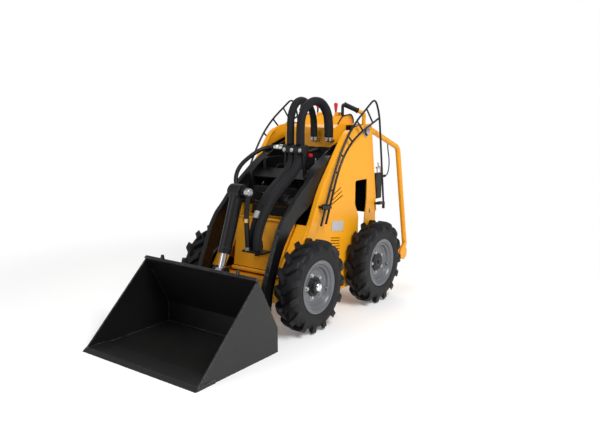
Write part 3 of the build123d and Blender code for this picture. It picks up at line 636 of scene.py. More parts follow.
HOSE_BIG = [(-425, 165, 1020), (-425, 165, 1085), (-420, 163, 1142), (-393, 158, 1196), (-344, 150, 1227),
            (-286, 142, 1227), (-237, 134, 1196), (-210, 128, 1145), (-200, 125, 1085), (-200, 125, 985.3)]
HOSE_SMALL = [(-425, 60, 1020), (-425, 60, 1085), (-420, 58, 1145), (-392, 54, 1199), (-343, 51, 1232),
              (-286, 50, 1232), (-238, 51, 1199), (-210, 53, 1147), (-200, 56, 1085), (-200, 56, 985.3)]
SLEEVE_ONE = [(-195, 118, 939.7), (-195, 118, 893), (-155, 120, 845), (-85, 124, 802), (-10, 127, 760),
              (65, 128, 708), (120, 128, 645), (162, 128, 577), (190, 128, 510), (190, 128, 450.3)]
SLEEVE_TWO = [(-195, 66, 939.7), (-195, 66, 893), (-150, 69, 842), (-80, 72, 800), (-8, 76, 762),
              (62, 76, 706), (110, 76, 640), (145, 76, 572), (170, 74, 505), (170, 74, 450.3)]
AUX_LOOP = [(-200, -60.3, 966), (-200, -92, 966), (-172, -120, 957), (-122, -138, 936), (-60, -146, 905),
            (0, -146, 872), (48, -136, 830), (78, -116, 784), (90, -88, 738), (90, -52.3, 738)]
STOP_CABLE = [(-962, 261, 955.5), (-966, 262, 920), (-985, 260, 875), (-1000, 256, 828), (-1003, 250, 782),
              (-992, 244, 750), (-967.3, 244, 750)]
SLEEVE_RADIUS = 0.027
SMALL_RADIUS = 0.022
LOOP_RADIUS = 0.012
CABLE_RADIUS = 0.004


def slack(depth, waves, phase):
    """Loose sleeve over two hoses: an oval that turns slowly along the run, with shallow creases across it."""
    def swell(along, angle):
        oval = 1 - depth * (0.5 + 0.5 * np.cos(2 * (angle - 2.0 * along - phase)))
        crease = 1 - 0.035 * (0.5 + 0.5 * np.sin(waves * along + 2.2 * np.sin(angle + phase) + phase)) ** 6
        return oval * crease
    return swell


def add_hose(node, rows, radius, material, body, swell=None, around=28):
    """One hose along its own spline, with its radius."""
    line = spline_line(placed(rows), 16)
    piece = tube_along(node + "_look", line, radius, around, swell)
    piece.data.materials.append(material)
    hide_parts(node)
    if body is not None:
        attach(piece, body)
    return piece


def add_hoses():
    """Two arches, two sleeves and a loop on the arms, and the cable behind."""
    for node, rows, radius, swell in (("hose_arch_left", HOSE_BIG, SLEEVE_RADIUS, slack(0.16, 70.0, 0.3)),
                                      ("hose_arch_right", HOSE_SMALL, SMALL_RADIUS, slack(0.14, 62.0, 1.7))):
        arch = add_hose(node, rows, radius, SLEEVE, None, swell)
        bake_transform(arch)
    add_hose("sleeve_left", SLEEVE_ONE, SLEEVE_RADIUS, SLEEVE, "arm", slack(0.16, 48.0, 2.1))
    add_hose("sleeve_right", SLEEVE_TWO, SMALL_RADIUS, SLEEVE, "arm", slack(0.14, 55.0, 0.9))
    add_hose("aux_loop", AUX_LOOP, LOOP_RADIUS, HOSE_RUBBER, "arm", around=20)
    add_hose("stop_cable", STOP_CABLE, CABLE_RADIUS, CABLE, "chassis", around=12)


aim_camera()
dress_nodes()
add_hoses()


# Wheels

TYRE_MIDDLE_Y = 0.3425
WHEELBASE = 0.676
LUGS = 15
LUG_RUN = 0.056            # how far a lug's middle end leads its outer end
# y and radius of the tyre's skin, then of its lugs, then how far the lug has risen
TREAD = [(0, 230, 0, 252.5, 0), (2, 230, 2, 252.5, 0), (4, 230, 4, 251.3, 1), (6, 230, 6, 252.5, 1),
         (16, 229.8, 16, 252.5, 1), (27, 229.2, 27, 252.5, 1), (37, 228, 38, 252.4, 1), (44.5, 226, 47, 251.6, 1),
         (50, 223, 53.5, 249, 1), (54, 219, 58.5, 244, 1), (57, 214, 61.5, 236, 1), (59, 208.5, 63.3, 226, 1),
         (60.2, 203, 64, 215, 1), (60.8, 198, 64, 206, 1), (61, 195, 61, 195, 0)]
SIDEWALL = [(61.2, 186), (61.2, 178), (60.6, 170), (59.6, 162), (58.8, 156.5), (60.0, 155), (60.0, 151.5), (58.4, 150),
            (57.2, 147), (54.5, 144.4), (50.0, 136), (43, 127.3)]
LUG_COLUMNS = (0.03, 0.045, 0.065, 0.08, 0.16, 0.25, 0.34, 0.42, 0.435, 0.455, 0.47)   # share of the pitch


def tyre_part():
    """Farm tyre about y. Skin and lug lines are blended by a mask: 1 between a lug's flanks, which rise over 5 % of
    the pitch. All columns lean forward towards the middle, so the lugs make an arrow, staggered from side to side."""
    half = TREAD + [(y, radius, y, radius, 0) for y, radius in SIDEWALL]
    rows = np.array([(-a, b, -c, d, e) for a, b, c, d, e in half[:0:-1]] + half)
    side = np.array([-1] * (len(half) - 1) + [1] * len(half))
    share = np.concatenate([np.array(LUG_COLUMNS), np.array(LUG_COLUMNS) + 0.5])
    column = (np.arange(LUGS)[:, None] + share[None, :]).ravel()
    place = column % 1.0
    left = np.clip((0.20 - np.abs(place - 0.25) + 0.02) / 0.05, 0, 1)
    right = np.clip((0.20 - np.abs(place - 0.75) + 0.02) / 0.05, 0, 1)
    left, right = (value * value * (3 - 2 * value) for value in (left, right))
    mask = np.where(side[:, None] > 0, left[None, :], right[None, :]) * rows[:, 4:5]
    y = rows[:, :1] + (rows[:, 2:3] - rows[:, :1]) * mask
    radius = rows[:, 1:2] + (rows[:, 3:4] - rows[:, 1:2]) * mask
    lean = LUG_RUN / 0.24 * (0.5 - np.clip(np.abs(rows[:, :1]) / 60, 0, 1))
    angle = column[None, :] * (2 * math.pi / LUGS) + lean
    points = np.stack([radius * np.sin(angle), y, radius * np.cos(angle)], -1) / 1000
    count = len(column)
    faces = grid_faces(len(rows), count, closed=True).tolist()
    last = (len(rows) - 1) * count
    faces += [[last + i, last + (i + 1) % count, (i + 1) % count, i] for i in range(count)]
    return points.reshape(-1, 3), faces


RIM_LINE = [(30, 11.5), (30, 17.5), (89, 17.5), (93, 22.5), (104, 25.0), (108, 38.5), (119, 41.5), (124, 51.5),
            (137, 58.0), (143, 58.5), (146.5, 56), (146.5, 53), (143, 51.5), (128, 45), (127, 43), (127, -43),
            (128, -45), (143, -51.5), (146, -55), (144, -57.5), (140, -57.5), (122, -45), (122, 5), (118, 11.5)]


# radius and y of the hub's cover and of its cap, the cap's easing and its count of sides
HUB_LINES = {
    "front": (((0, 12), (52, 12), (52, 20), (46, 24), (38, 26), (36, 46), (30, 50), (0, 50)),
              ((0, 48), (24, 48), (24, 55), (19, 61), (8, 63), (0, 63)), (0.003, 4), 40),
    "rear": (((0, 12), (48, 12), (48, 20), (40, 24), (33, 25), (31, 31), (12, 33), (0, 33)),
             ((0, 32), (11, 32), (11, 38), (8, 41), (0, 41)), (0.002, 3), 6),
}
STUD_CIRCLE = 0.064
STUDS = 5


def nut():
    """Wheel nut about y: six flats with eased corners on a round flange, and the stud's end."""
    height, radius = 0.009, 0.0115
    flange = lathe([(0, 0), (radius * 1.25, 0), (radius * 1.25, 0.0015), (radius, 0.0025), (0, 0.0025)], 24)
    flats = lathe([(0, 0.002), (radius, 0.002), (radius, height), (radius * 0.88, height + 0.001),
                   (0, height + 0.001)], 6)
    stud = lathe([(0, height), (0.0055, height), (0.0055, height + 0.004), (0.0045, height + 0.005),
                  (0, height + 0.005)], 16)
    return [flange, flats, stud]


def wheel_parts(front):
    """Rim, nuts with valve, hub cover and cap of a left wheel about y, each as a list of parts."""
    rim = [lathe(np.array(soften(RIM_LINE + RIM_LINE[:1], 3.0, 3)[1:]) / 1000, 96)]
    nuts = []
    for count in range(STUDS):
        angle = math.radians(18) + count * 2 * math.pi / STUDS
        spot = (STUD_CIRCLE * math.sin(angle), 0.0175, STUD_CIRCLE * math.cos(angle))
        nuts += [shifted(part, spot) for part in nut()]
    nuts += [shifted(rod((0, 0, 0), (0, 0.022, 0), 0.004, 12), (-0.098, 0.020, -0.03))]
    cover_line, cap_line, cap_ease, cap_around = HUB_LINES["front" if front else "rear"]
    cover = lathe(soften(mm(*cover_line), 0.003, 3), 48)
    cap = lathe(soften(mm(*cap_line), *cap_ease), cap_around)
    return rim, nuts, [cover], [cap]


def add_wheels():
    """Lugged tyre, rim, hub and nuts on each wheel body."""
    tyre = tyre_part()
    for end, x in (("front", 0.0), ("rear", -WHEELBASE)):
        rim, nuts, cover, cap = wheel_parts(end == "front")
        for side, turn in (("left", lambda part: part), ("right", opposite)):
            spot = (x + AXLE_X, TYRE_MIDDLE_Y, WHEEL_RADIUS)
            body = "wheel_" + end + "_" + side
            tag = "_" + end + "_" + side

            def put(parts):
                return [turn(shifted(part, spot)) for part in parts]

            build_piece("lugged_tyre" + tag, put([tyre]), RUBBER, body, ("tyre" + tag,), crease=28)
            build_piece("stepped_rim" + tag, put(rim), SILVER, body, ("rim" + tag,))
            build_piece("wheel_nuts" + tag, put(nuts), ZINC, body)
            build_piece("hub_cover" + tag, put(cover), HUB_BLACK, body)
            cap_finish = CAP_METAL if end == "front" else DARK_STEEL
            build_piece("hub_cap" + tag, put(cap), cap_finish, body)


# Lift arms

ARM_LINE = side_view(
    (-647, 1080), (-402, 962), (-312, 917), (-203, 857), (-80, 772), (0, 713), (50, 662), (108, 614), (152, 554),
    (179, 498), (217, 412), (243, 356), (270, 290), (298, 160), (222, 160), (213, 230), (192, 290), (175, 342),
    (146, 413), (107, 478), (47, 555), (6, 599), (-80, 642), (-174, 692), (-310, 790), (-647, 1016))
ARM_SPLIT = (-0.312 + AXLE_X, -0.150 + AXLE_X)


def add_arms():
    """Both lift arms: an outer plate over the whole length, a box behind it and a narrow box down to the hitch."""
    line = [tuple(point) for point in soften(ARM_LINE + ARM_LINE[:1], 0.02, 3)[1:-1]]
    rear, narrow = ARM_SPLIT
    parts = [slab(line, 0.242, 0.250), slab(clip(line, -9, rear), 0.190, 0.198),
             slab(clip(line, rear, narrow), 0.190, 0.242), slab(clip(line, narrow, 9), 0.222, 0.242)]
    for point, radius in (((260, 160), 0.038), ((-647, 1050), 0.036)):
        profile = soften(((0, 0.190), (radius, 0.190), (radius, 0.2505), (0, 0.2505)), 0.0015, 2)
        parts.append(shifted(lathe(profile, 48), at(point[0], 0, point[1])))
    parts.append(shifted(lathe([(0, 0.186), (0.036, 0.186), (0.036, 0.224), (0, 0.224)], 40), at(-24, 0, 678)))
    build_piece("lift_arm_boxes", both_sides(parts), BLACK, "arm",
                ("lift_arms",), crease=25)


# Side panels and hull

PANEL_LINE = side_view((-820, 270), (110, 270), (100, 295), (-84, 552), (-184, 745), (-312, 901), (-424, 1036),
                       (-520, 1076), (-610, 1088), (-716, 1096), (-820, 445))
WINDOW_LINE = side_view((-536, 762), (-672, 762), (-668, 348), (-661, 348), (-595, 393), (-595, 541), (-535, 623))
SLOTS = [((-376, 738), (-306, 707)), ((-385, 715), (-294, 675)), ((-395, 690), (-285, 652))]
LOUVRES = [((-394, 358 + 16 * step), (-298, 374 + 16 * step)) for step in range(6)]
FOLD_TOP = (-0.655 + AXLE_X, 1.10)
FOLD_LOW = (-0.690 + AXLE_X, 0.27)


def slot_line(low, high, width):
    """Outline of a narrow slot with rounded ends between two points."""
    low, high = np.array(side_view(low, high))
    run = (high - low) / np.linalg.norm(high - low)
    across = np.array((run[1], -run[0])) * width / 2
    angle = np.linspace(0, math.pi, 7)[:, None]
    end = high + across * np.cos(angle) + run * width / 2 * np.sin(angle)
    start = low - across * np.cos(angle) - run * width / 2 * np.sin(angle)
    return [tuple(point) for point in np.vstack([end, start])]


def panel_face(x, z):
    """y of the panel's outer face: 285 mm above, 272 mm between the tyres, a slight fold at the rear post."""
    share = np.clip((0.650 - z) / 0.160, 0, 1)
    low = 0.013 * share * share * (3 - 2 * share)
    post = FOLD_TOP[0] + (FOLD_LOW[0] - FOLD_TOP[0]) * (FOLD_TOP[1] - z) / (FOLD_TOP[1] - FOLD_LOW[1])
    return 0.285 - low - np.clip(post - x, 0, None) * 0.035


def edge_strip(points, depth):
    """Thin band below a line of points: the line and the same line moved square to it by depth."""
    points = np.array(points, float)
    run = np.gradient(points, axis=0)
    run /= np.linalg.norm(run, axis=1, keepdims=True)
    square = np.column_stack([run[:, 1], -run[:, 0]]) * depth
    return [tuple(point) for point in np.vstack([points, (points + square)[::-1]])]


def add_panels():
    """Side panels with window, slots and louvres, their front flanges and the hull's cheeks below them."""
    window = [tuple(point) for point in soften(WINDOW_LINE + WINDOW_LINE[:2], 0.016, 4)[1:-1]]
    holes = [window] + [slot_line(a, b, 0.009) for a, b in SLOTS] + [slot_line(a, b, 0.005) for a, b in LOUVRES]
    level = [[(-0.70, z), (0.30, z)] for z in (0.50, 0.53, 0.57, 0.61, 0.64)]
    upright = [[FOLD_TOP, FOLD_LOW]]
    outline = [tuple(point) for point in soften(PANEL_LINE + PANEL_LINE[:1], 0.03, 4)[1:-1]]
    outline = [PANEL_LINE[0]] + outline
    panel = pressed_sheet(outline, holes, level + upright, panel_face, 0.006)
    front = soften(side_view((100, 295), (-84, 552), (-184, 745), (-312, 901), (-424, 1036), (-470, 1058)), 0.05, 5)
    flange = slab(edge_strip(front, 0.004), 0.254, 0.2835)
    slope = slab(edge_strip(side_view((100, 295), (-84, 552)), 0.006), 0.190, 0.270)
    cheek = slab(soften(side_view((-820, 268.5), (-820, 155), (-790, 125), (50, 125), (92, 145), (110, 190),
                                  (110, 268.5)), 0.02, 4), 0.250, 0.272)
    build_piece("panel_sheets", both_sides([panel, flange, slope]), YELLOW, "chassis",
                ("side_panels",), crease=22)
    build_piece("hull_cheeks", both_sides([cheek]), YELLOW, "chassis")


# Rod guards

# Where each rung meets the outer and the inner rod, as a share of the rod's length
RUNGS = [(0.06, 0.12), (0.13, 0.23), (0.20, 0.35), (0.27, 0.47), (0.35, 0.61), (0.43, 0.76), (0.51, 0.90)]


def add_guards():
    """Ladders of rods: two bent rods with rungs between them, clamped to the panel by a bracket at each end."""
    y = 310
    outer = soften(placed([(-140, y, 552), (-290, y, 880), (-440, y, 1080), (-705, y, 1246), (-760, y, 1150),
                           (-838, y, 590)]), (0, 0.20, 0.20, 0.05, 0.06, 0), 10)
    inner = soften(placed([(-189, y, 556), (-325, y, 885), (-480, y, 1025), (-763, y, 1128)]), (0, 0.16, 0.16, 0), 8)

    def along(line, share):
        steps = lengths_along(line)
        return np.array([np.interp(share * steps[-1], steps, line[:, axis]) for axis in range(3)])

    parts = [pipe(outer, 0.0062, 12), pipe(inner, 0.0062, 12)]
    for a, b in RUNGS:
        parts.append(rod(along(outer, a), along(inner, b), 0.0052, 12, 0.0004))
    shoe = soften(side_view((-238, 638), (-238, 652), (-150, 662), (-150, 648), (-238, 638)), 0.004, 2)[:-1]
    parts.append(slab(shoe, 0.284, 0.316))
    for x, z in ((-222, 648), (-181, 653)):
        parts.append(rod(at(x, 300, z - 14), at(x + 4, 300, z + 14), 0.011, 16))
    parts.append(slab(side_view((-846, 590), (-846, 602), (-776, 602), (-776, 590)), 0.279, 0.316))
    parts.append(rod(at(-838, 310, 560), at(-838, 310, 600), 0.009, 16))
    build_piece("guard_rods", both_sides(parts), GUARD_BLACK, "chassis", ("side_guards",))


# Small fittings: all tables in millimetres, x counted from the front axle

def plate_at(x_low, x_high, y_low, y_high, z_low, z_high, ease=4.0):
    """Block whose outline in x and z has eased corners."""
    return prism(((x_low, z_low), (x_high, z_low), (x_high, z_high), (x_low, z_high)), y_low, y_high, ease)


def prism(rows, y_low, y_high, ease, steps=3):
    """Plate with an eased outline of x and z rows, between two planes of y."""
    return slab(closed(side_view(*rows), ease / 1000, steps), y_low / 1000, y_high / 1000)


def bar_of(start, end, radius, around=20, edge=1.0):
    """Round bar between two x, y, z rows."""
    return rod(at(*start), at(*end), radius / 1000, around, edge / 1000)


def turned_at(place, direction, rows, around, ease=None):
    """Turned part with radius and length rows, its corners eased by ease steps of 3 mm where that is given."""
    line = mm(*rows) if ease is None else soften(mm(*rows), 0.003, ease)
    return aimed(lathe(line, around), at(*place), direction)


def bolt(x, y, z, radius=9.0, height=7.0, direction=(0.0, 1.0, 0.0)):
    """Hexagon bolt head on a washer."""
    wide = radius * 1.6
    washer = ((0, 0), (radius * 1.5, 0), (wide, 0.4), (wide, 1.6), (radius * 1.5, 2), (0, 2))
    head = ((0, 1.5), (radius, 1.5), (radius, height), (radius * 0.86, height + 1), (0, height + 1))
    return [turned_at((x, y, z), direction, rows, around) for rows, around in ((washer, 24), (head, 6))]


def ribbed(start, end, low, high, pitch, around=20):
    """Round bar whose radius swings between two values, once each pitch."""
    start, end = np.array(start, float), np.array(end, float)
    length = np.linalg.norm(end - start)
    y = np.linspace(0, length, int(length / pitch * 8) + 1)
    radius = low + (high - low) * (0.5 - 0.5 * np.cos(2 * math.pi * y / pitch)) ** 0.5
    profile = [(0, 0)] + list(zip(radius, y)) + [(0, length)]
    return aimed(lathe(profile, around), start, end - start)


# x low and high, y low and high, z low and high, easing: case, lid seam, cover, two straps, cable bracket
HOLDER_BLOCKS = [(-915, -843, 225, 250, 614, 777, 8), (-918, -840, 222, 253, 700, 708, 3),
                 (-905, -853, 250, 253.5, 630, 690, 6), (-846, -818, 228, 240, 640, 655, 3),
                 (-846, -812, 228, 240, 740, 755, 3), (-975, -910, 240, 247, 742, 758, 4)]
HOLDER_SCREWS = [(-905, 624), (-853, 624), (-905, 767), (-853, 767)]
FOOT = (-1190, 199, 45)    # x, z and radius of the rounded plate
FOOT_TIP = [(-1199, 284), (-1207, 284)]


def add_rear():
    """Holder box with its clamp and the cable's bracket, and the rounded plates outside the rear feet."""
    box = [plate_at(*row) for row in HOLDER_BLOCKS] + [bar_of((-972, 244, 750), (-952, 244, 750), 6.5, 12)]
    for x, z in HOLDER_SCREWS:
        box += bolt(x, 250, z, 4, 3)
    build_piece("small_holder_box", box, DARK_STEEL, "chassis", ("holder_box",))
    clamp = [bar_of((x, 246, 777), (x, 246, 812), 4, 10) for x in (-903, -862)]
    clamp += [plate_at(-912, -852, 240, 252, 806, 818, 4), bar_of((-880, 246, 818), (-868, 246, 846), 5, 12)]
    build_piece("holder_clamp", clamp, ZINC, "chassis")
    x, z, radius = FOOT
    turn = np.radians(np.arange(-140, 141, 14))
    ring = list(zip(x - radius * np.sin(turn), z - radius * np.cos(turn)))
    build_piece("foot_discs", both_sides([prism(ring + FOOT_TIP, 276.5, 284.5, 4, 2)]), YELLOW, "chassis")


LEVER_FOOT_Z = 1108
LEVERS = [(-650, 66, 1166), (-650, -69, 1180), (-640, 22, 1150)]    # x, y and z of each stalk's top
KNOB_LINE = [(0, 0), (6, 0), (8, 5), (11.5, 34), (12.5, 44), (9, 51), (0, 52)]
CAP_LINE = [(0, 0), (8, 0), (11, 8), (9, 18), (0, 20)]
BOOT_LINE = [(0, 0), (16, 0), (16, 3), (12, 10), (7, 20), (0, 20)]
GRIP_START = np.array((-672.1, 208.6, 1170.7))
GRIP_END = np.array((-600.0, 147.0, 1212.0))
CONSOLE_EDGE = [(-541, 152, 1092), (-590, 152, 1139), (-691, 152, 1150), (-717, 152, 1118), (-717, 152, 1092)]


def along_grip(share):
    """Point at a share of the way along the left grip."""
    return GRIP_START + (GRIP_END - GRIP_START) * share


def add_controls():
    """Two tapered red knobs and a low black one on dark stalks, lever boxes on the console, and ribbed grips."""
    up = (0.0, 0.0, 1.0)
    knobs, stalks = [], []
    for x, y, top in LEVERS:
        foot = (x + 6, y, LEVER_FOOT_Z)
        stalks += [bar_of(foot, (x, y, top + 2), 5.5, 14), turned_at(foot, up, BOOT_LINE, 24)]
    for place in LEVERS[:2]:
        knobs.append(turned_at(place, up, KNOB_LINE, 28, 3))
    stalks.append(turned_at(LEVERS[2], up, CAP_LINE, 24, 3))
    build_piece("lever_knobs", knobs, KNOB, "chassis", ("control_levers",))
    build_piece("lever_stalks", stalks, BLACK, "chassis")
    boxes = [plate_at(-648, -606, 84, 108, 1106, 1160, 6), plate_at(-648, -606, -46, -20, 1106, 1158, 6)]
    build_piece("lever_box", boxes, YELLOW, "chassis")
    leg = soften(placed([GRIP_START, GRIP_END, (-600, 147, 1140.1)]), 0.02, 8)
    grip = [ribbed(at(*GRIP_START), at(*along_grip(0.86)), 0.0125, 0.0150, 0.0075),
            bar_of(along_grip(-0.03), along_grip(0.05), 18, 24, 3),
            bar_of(along_grip(0.82), along_grip(0.90), 17, 24, 3), pipe(leg, 0.009, 16)]
    build_piece("ribbed_grips", both_sides(grip), GRIP, "chassis", ("handle_grips",))
    trim = pipe(soften(placed(CONSOLE_EDGE), 0.02, 6), 0.004, 10)
    build_piece("console_trim", both_sides([trim]), GRIP, "chassis")


CLAMP_LINE = [(-230, 940), (-170, 940), (-170, 972), (-184, 985), (-216, 985), (-230, 972)]
STRAP_LINE = [(-233, 938), (-167, 938), (-167, 975), (-182, 988), (-218, 988), (-233, 975)]
STRAPS_Y = (30, 82, 140)
COUPLER_LINE = [(0, 0), (15, 0), (15, 10), (12.5, 12), (12.5, 16), (16.5, 18), (16.5, 34), (13, 37), (13, 50), (15, 52),
                (15, 60), (11, 64), (11, 78), (0, 78)]
BAND_LOW, BAND_HIGH = 0.604, 0.641      # height of the blank band round the right sleeve
SIDE_PIPE = [(190, 78, 740), (206, 78, 700), (214, 78, 640), (206, 78, 449)]


def add_clamp():
    """Hose clamp with straps and bolts, its steel coupler, and the pipe beside the tilt cylinder with its fittings."""
    body = [prism(CLAMP_LINE, 18, 162, 5)] + [prism(STRAP_LINE, y, y + 10, 5) for y in STRAPS_Y]
    build_piece("strapped_clamp", body, BLACK, "arm", ("hose_clamp",))
    bolts = [part for y in STRAPS_Y for part in bolt(-168, y + 5, 958, 7, 6, (1, 0, 0))]
    build_piece("clamp_bolts", bolts, ZINC, "arm")
    coupler = turned_at((-200, 18, 966), (0.0, -1.0, 0.0), COUPLER_LINE, 32)
    build_piece("stepped_coupler", [coupler], CAP_METAL, "arm", ("couplers",))
    line = spline_line(placed(SLEEVE_TWO), 16)
    band = line[(line[:, 2] > BAND_LOW) & (line[:, 2] < BAND_HIGH)]
    build_piece("blank_band", [pipe(band, SMALL_RADIUS + 0.0012, 32)], WHITE_CLOTH, "arm")
    route = soften(placed(SIDE_PIPE), 0.03, 6)
    build_piece("steel_pipe", [pipe(route, 0.0135, 24)], BLACK, "arm")
    ends = [bar_of((190, 58, 755), (190, 88, 755), 21, 24), bar_of((206, 78, 446), (206, 78, 466), 17, 6)]
    build_piece("pin_ends", ends + bolt(190, 88, 755, 10, 8), ZINC, "arm")
    build_piece("brass_fitting", [bar_of((212.5, 78, 600), (213.5, 78, 622), 16.5, 6)], BRASS, "arm")


def add_bolts():
    """Bolts with washers on the arms' pivots and on the hitch pins."""
    build_piece("pivot_bolts", both_sides(bolt(-647, 288, 1050, 21, 13)), ZINC, "chassis")
    build_piece("hitch_bolts", both_sides(bolt(260, 250, 160, 19, 12)), ZINC, "hitch")


# x low and high, y low and high, z low and high, easing: shroud and two side walls
BAY_WALLS = [(-452, -446, -177, 177, 560, 960, 2), (-440, -230, -170, -150, 590, 900, 30),
             (-400, -250, -90, -78, 560, 860, 20)]
FINS = 15
FIN_PITCH = 9
CANISTER = (-292, 22)      # x and y of the ringed canister
# x low and high, y low and high, z low and high, easing of a black plate behind each side window: painted shade that
# keeps the window dark inside
WINDOW_SHADE_PLATE = (-727, -721, 150, 277, 545, 880, 6)
BAY_BLOCKS = [(-670, -600, 120, 150, 600, 720, 20), (-640, -560, 150, 172, 640, 700, 12)]
RIBBED_ROUTE = [(-300, 66, 780), (-300, 66, 930), (-446, 70, 945)]
HOSE_RIB_PITCH = 0.009


def add_engine():
    """Dark parts of the engine bay: shroud, finned head, ringed canister, ribbed hose and small fittings; with them a
    black plate behind each side window, which is painted shade.
    """
    parts = [plate_at(*row) for row in BAY_WALLS]
    for step in range(FINS):
        y = -62 + FIN_PITCH * step
        parts.append(plate_at(-440, -352, y, y + 3, 700, 862, 12))
    x, y = CANISTER
    parts += [ribbed(at(x, y, 720), at(x, y, 822), 0.044, 0.050, 0.017, 40),
              bar_of((x, y, 640), (x, y, 724), 30, 24), bar_of((x, y, 822), (x, y, 836), 24, 24, 4),
              plate_at(-340, -220, 100, 112, 590, 800, 20)]
    parts += both_sides([plate_at(*WINDOW_SHADE_PLATE)]) + [plate_at(*row) for row in BAY_BLOCKS]
    build_piece("engine_dress_and_shade_plates", parts, ENGINE_BLACK, "chassis", (), 30)
    line = soften(placed(RIBBED_ROUTE), 0.05, 16)
    steps = lengths_along(line)
    fine = np.linspace(0, steps[-1], 200)
    route = np.column_stack([np.interp(fine, steps, line[:, axis]) for axis in range(3)])
    radii = 0.0125 + 0.0015 * np.sin(fine * 2 * math.pi / HOSE_RIB_PITCH)
    build_piece("ribbed_hose", [pipe(route, radii, 16)], HOSE_RUBBER, "chassis")
    bright = [plate_at(-356, -350, 118, 160, 800, 850, 4), bar_of((-350, 100, 840), (-350, 150, 840), 8, 16),
              bar_of((-348, 128, 780), (-348, 128, 900), 5, 12)] + bolt(-350, 139, 826, 7, 6, (1, 0, 0))
    build_piece("engine_fittings", bright, ZINC, "chassis")
    build_piece("filler_cap", [bar_of((-350, 88, 905), (-350, 88, 925), 14, 20, 3)], KNOB, "chassis")


TOP_BAR_LINE = [(482, 388), (495, 412), (511, 404), (498, 380)]
LUG_LINE = [(478, 396), (506, 396), (496, 430), (484, 430)]
LUGS_Y = (-270, 260)


def add_bucket_parts():
    """Bar along the bucket's top edge with a lug near each end."""
    parts = [prism(TOP_BAR_LINE, -391.5, 391.5, 2, 2)] + [prism(LUG_LINE, y - 5, y + 5, 4) for y in LUGS_Y]
    build_piece("bucket_top_bar", parts, BUCKET_BLACK, "hitch")


BARE_PLATE_LINE = side_view((-424, 476), (-303, 494), (-303, 553), (-424, 536))
NOSE_HOSE = [(14, 22, 536), (50, 26, 528), (66, 48, 500), (68, 62, 455), (62, 56, 415), (48, 26, 385), (33, -17, 376)]


def add_nose():
    """Bare plates on the side panels, thin hose ahead of the nose, and the nose's seams, top fold and lip."""
    sheet = pressed_sheet(closed(BARE_PLATE_LINE, 0.004, 3), [], [], lambda x, z: panel_face(x, z) + 0.0015, 0.0012)
    build_piece("bare_label", both_sides([sheet]), BARE_PLATE, "chassis")
    route = soften(placed(NOSE_HOSE), 0.03, 6)
    build_piece("nose_hose", [pipe(route, 0.006, 14)], HOSE_RUBBER, "chassis")
    seam = [plate_at(34, 50, -169, 169, 300, 305, 2), plate_at(-100, -88, -172, 172, 300, 580, 2)]
    build_piece("nose_seam", seam, ENGINE_BLACK, "chassis")
    lip = [plate_at(48, 66, -168, 168, 284, 300, 4), plate_at(-22, 6, -168, 168, 574, 588, 5)]
    build_piece("nose_lip", lip, YELLOW, "chassis")


# Floor, backdrop and lights

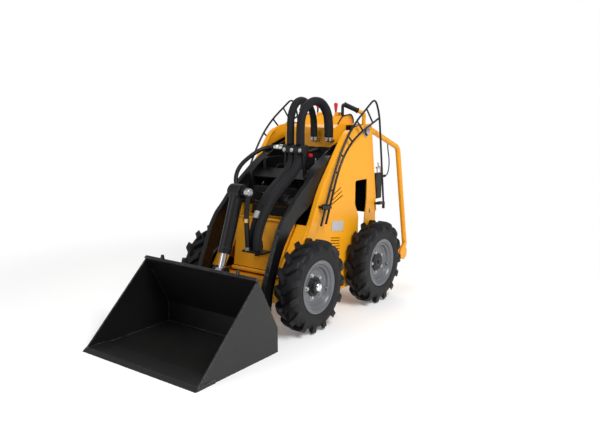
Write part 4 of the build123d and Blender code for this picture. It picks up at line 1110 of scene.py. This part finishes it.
def floor_material():
    """White floor that keeps the machine's shadow near it and is plain white further out.
    Camera rays get some light of its own, so that it prints as white as the photograph's."""
    material = bpy.data.materials.new("floor_white")
    material.use_nodes = True
    material.node_tree.nodes.clear()
    net = Net(material.node_tree)
    place = net.add("TexCoord").outputs["Object"]
    reach = net.add("VectorMath", {"operation": "LENGTH"}, in0=place).outputs["Value"]
    far = net.ramp(reach, FLOOR_NEAR, FLOOR_FAR)
    path = net.add("LightPath")
    seen = net.math("MAXIMUM", path.outputs["Is Camera Ray"], path.outputs["Is Glossy Ray"])
    seen = net.math("MAXIMUM", seen, path.outputs["Is Transmission Ray"])
    lit = net.add("BsdfDiffuse", Color=rgb((0.90, 0.90, 0.90)))
    lift = net.add("Emission", Color=rgb((1.0, 1.0, 1.0)))
    net.put(lift, "Strength", net.math("MULTIPLY", seen, FLOOR_LIFT))
    near = net.add("AddShader", in0=lit.outputs[0], in1=lift.outputs[0])
    white = net.add("Emission", Color=rgb((1.0, 1.0, 1.0)))
    dim = net.math("ADD", net.math("MULTIPLY", seen, 1.0 - FLOOR_GIVES), FLOOR_GIVES)
    net.put(white, "Strength", dim)
    choose = net.add("MixShader", in0=far, in1=near.outputs[0], in2=white.outputs[0])
    leave = net.add("OutputMaterial")
    net.tree.links.new(choose.outputs[0], leave.inputs[0])
    return material


def studio():
    """White floor and backdrop that keep the soft shadow, and three soft lamps."""
    scene = bpy.context.scene
    scene.view_settings.view_transform = "Standard"
    world = bpy.data.worlds.new("studio")
    scene.world = world
    world.use_nodes = True
    world.node_tree.nodes.clear()
    net = Net(world.node_tree)
    path = net.add("LightPath")
    seen = net.math("MAXIMUM", path.outputs["Is Camera Ray"], path.outputs["Is Transmission Ray"])
    dim = net.add("Background", Color=rgb((1.0, 1.0, 1.0)), Strength=WORLD_LEVEL)
    bright = net.add("Background", Color=rgb((1.0, 1.0, 1.0)), Strength=1.0)
    choose = net.add("MixShader", in0=seen, in1=dim.outputs[0], in2=bright.outputs[0])
    leave = world.node_tree.nodes.new("ShaderNodeOutputWorld")
    world.node_tree.links.new(choose.outputs[0], leave.inputs[0])
    mesh = bpy.data.meshes.new("floor")
    mesh.from_pydata([(-30, -30, 0), (30, -30, 0), (30, 30, 0), (-30, 30, 0)], [], [(0, 1, 2, 3)])
    mesh.materials.append(floor_material())
    floor = new_piece("floor", mesh)
    for name, place, size, power in LAMPS:
        data = bpy.data.lights.new(name, "AREA")
        data.size = size
        data.energy = power
        lamp = bpy.data.objects.new(name, data)
        scene.collection.objects.link(lamp)
        lamp.location = place
        lamp.rotation_euler = (Vector((0, 0, 0.5)) - Vector(place)).to_track_quat("-Z", "Y").to_euler()


FLOOR_NEAR = 1.7
FLOOR_FAR = 2.8
FLOOR_LIFT = 0.15          # light that the near floor shows of its own
FLOOR_GIVES = 0.55         # light that the far floor gives to other surfaces
WORLD_LEVEL = 0.34
LAMPS = [("key", (1.2, 3.6, 4.2), 2.2, 225.0), ("fill", (4.0, -1.5, 3.0), 3.0, 45.0),
         ("back", (-3.0, -1.5, 3.8), 2.5, 60.0)]

add_wheels()
add_arms()
add_panels()
add_guards()
add_rear()
add_controls()
add_clamp()
add_bolts()
add_engine()
add_bucket_parts()
add_nose()
studio()
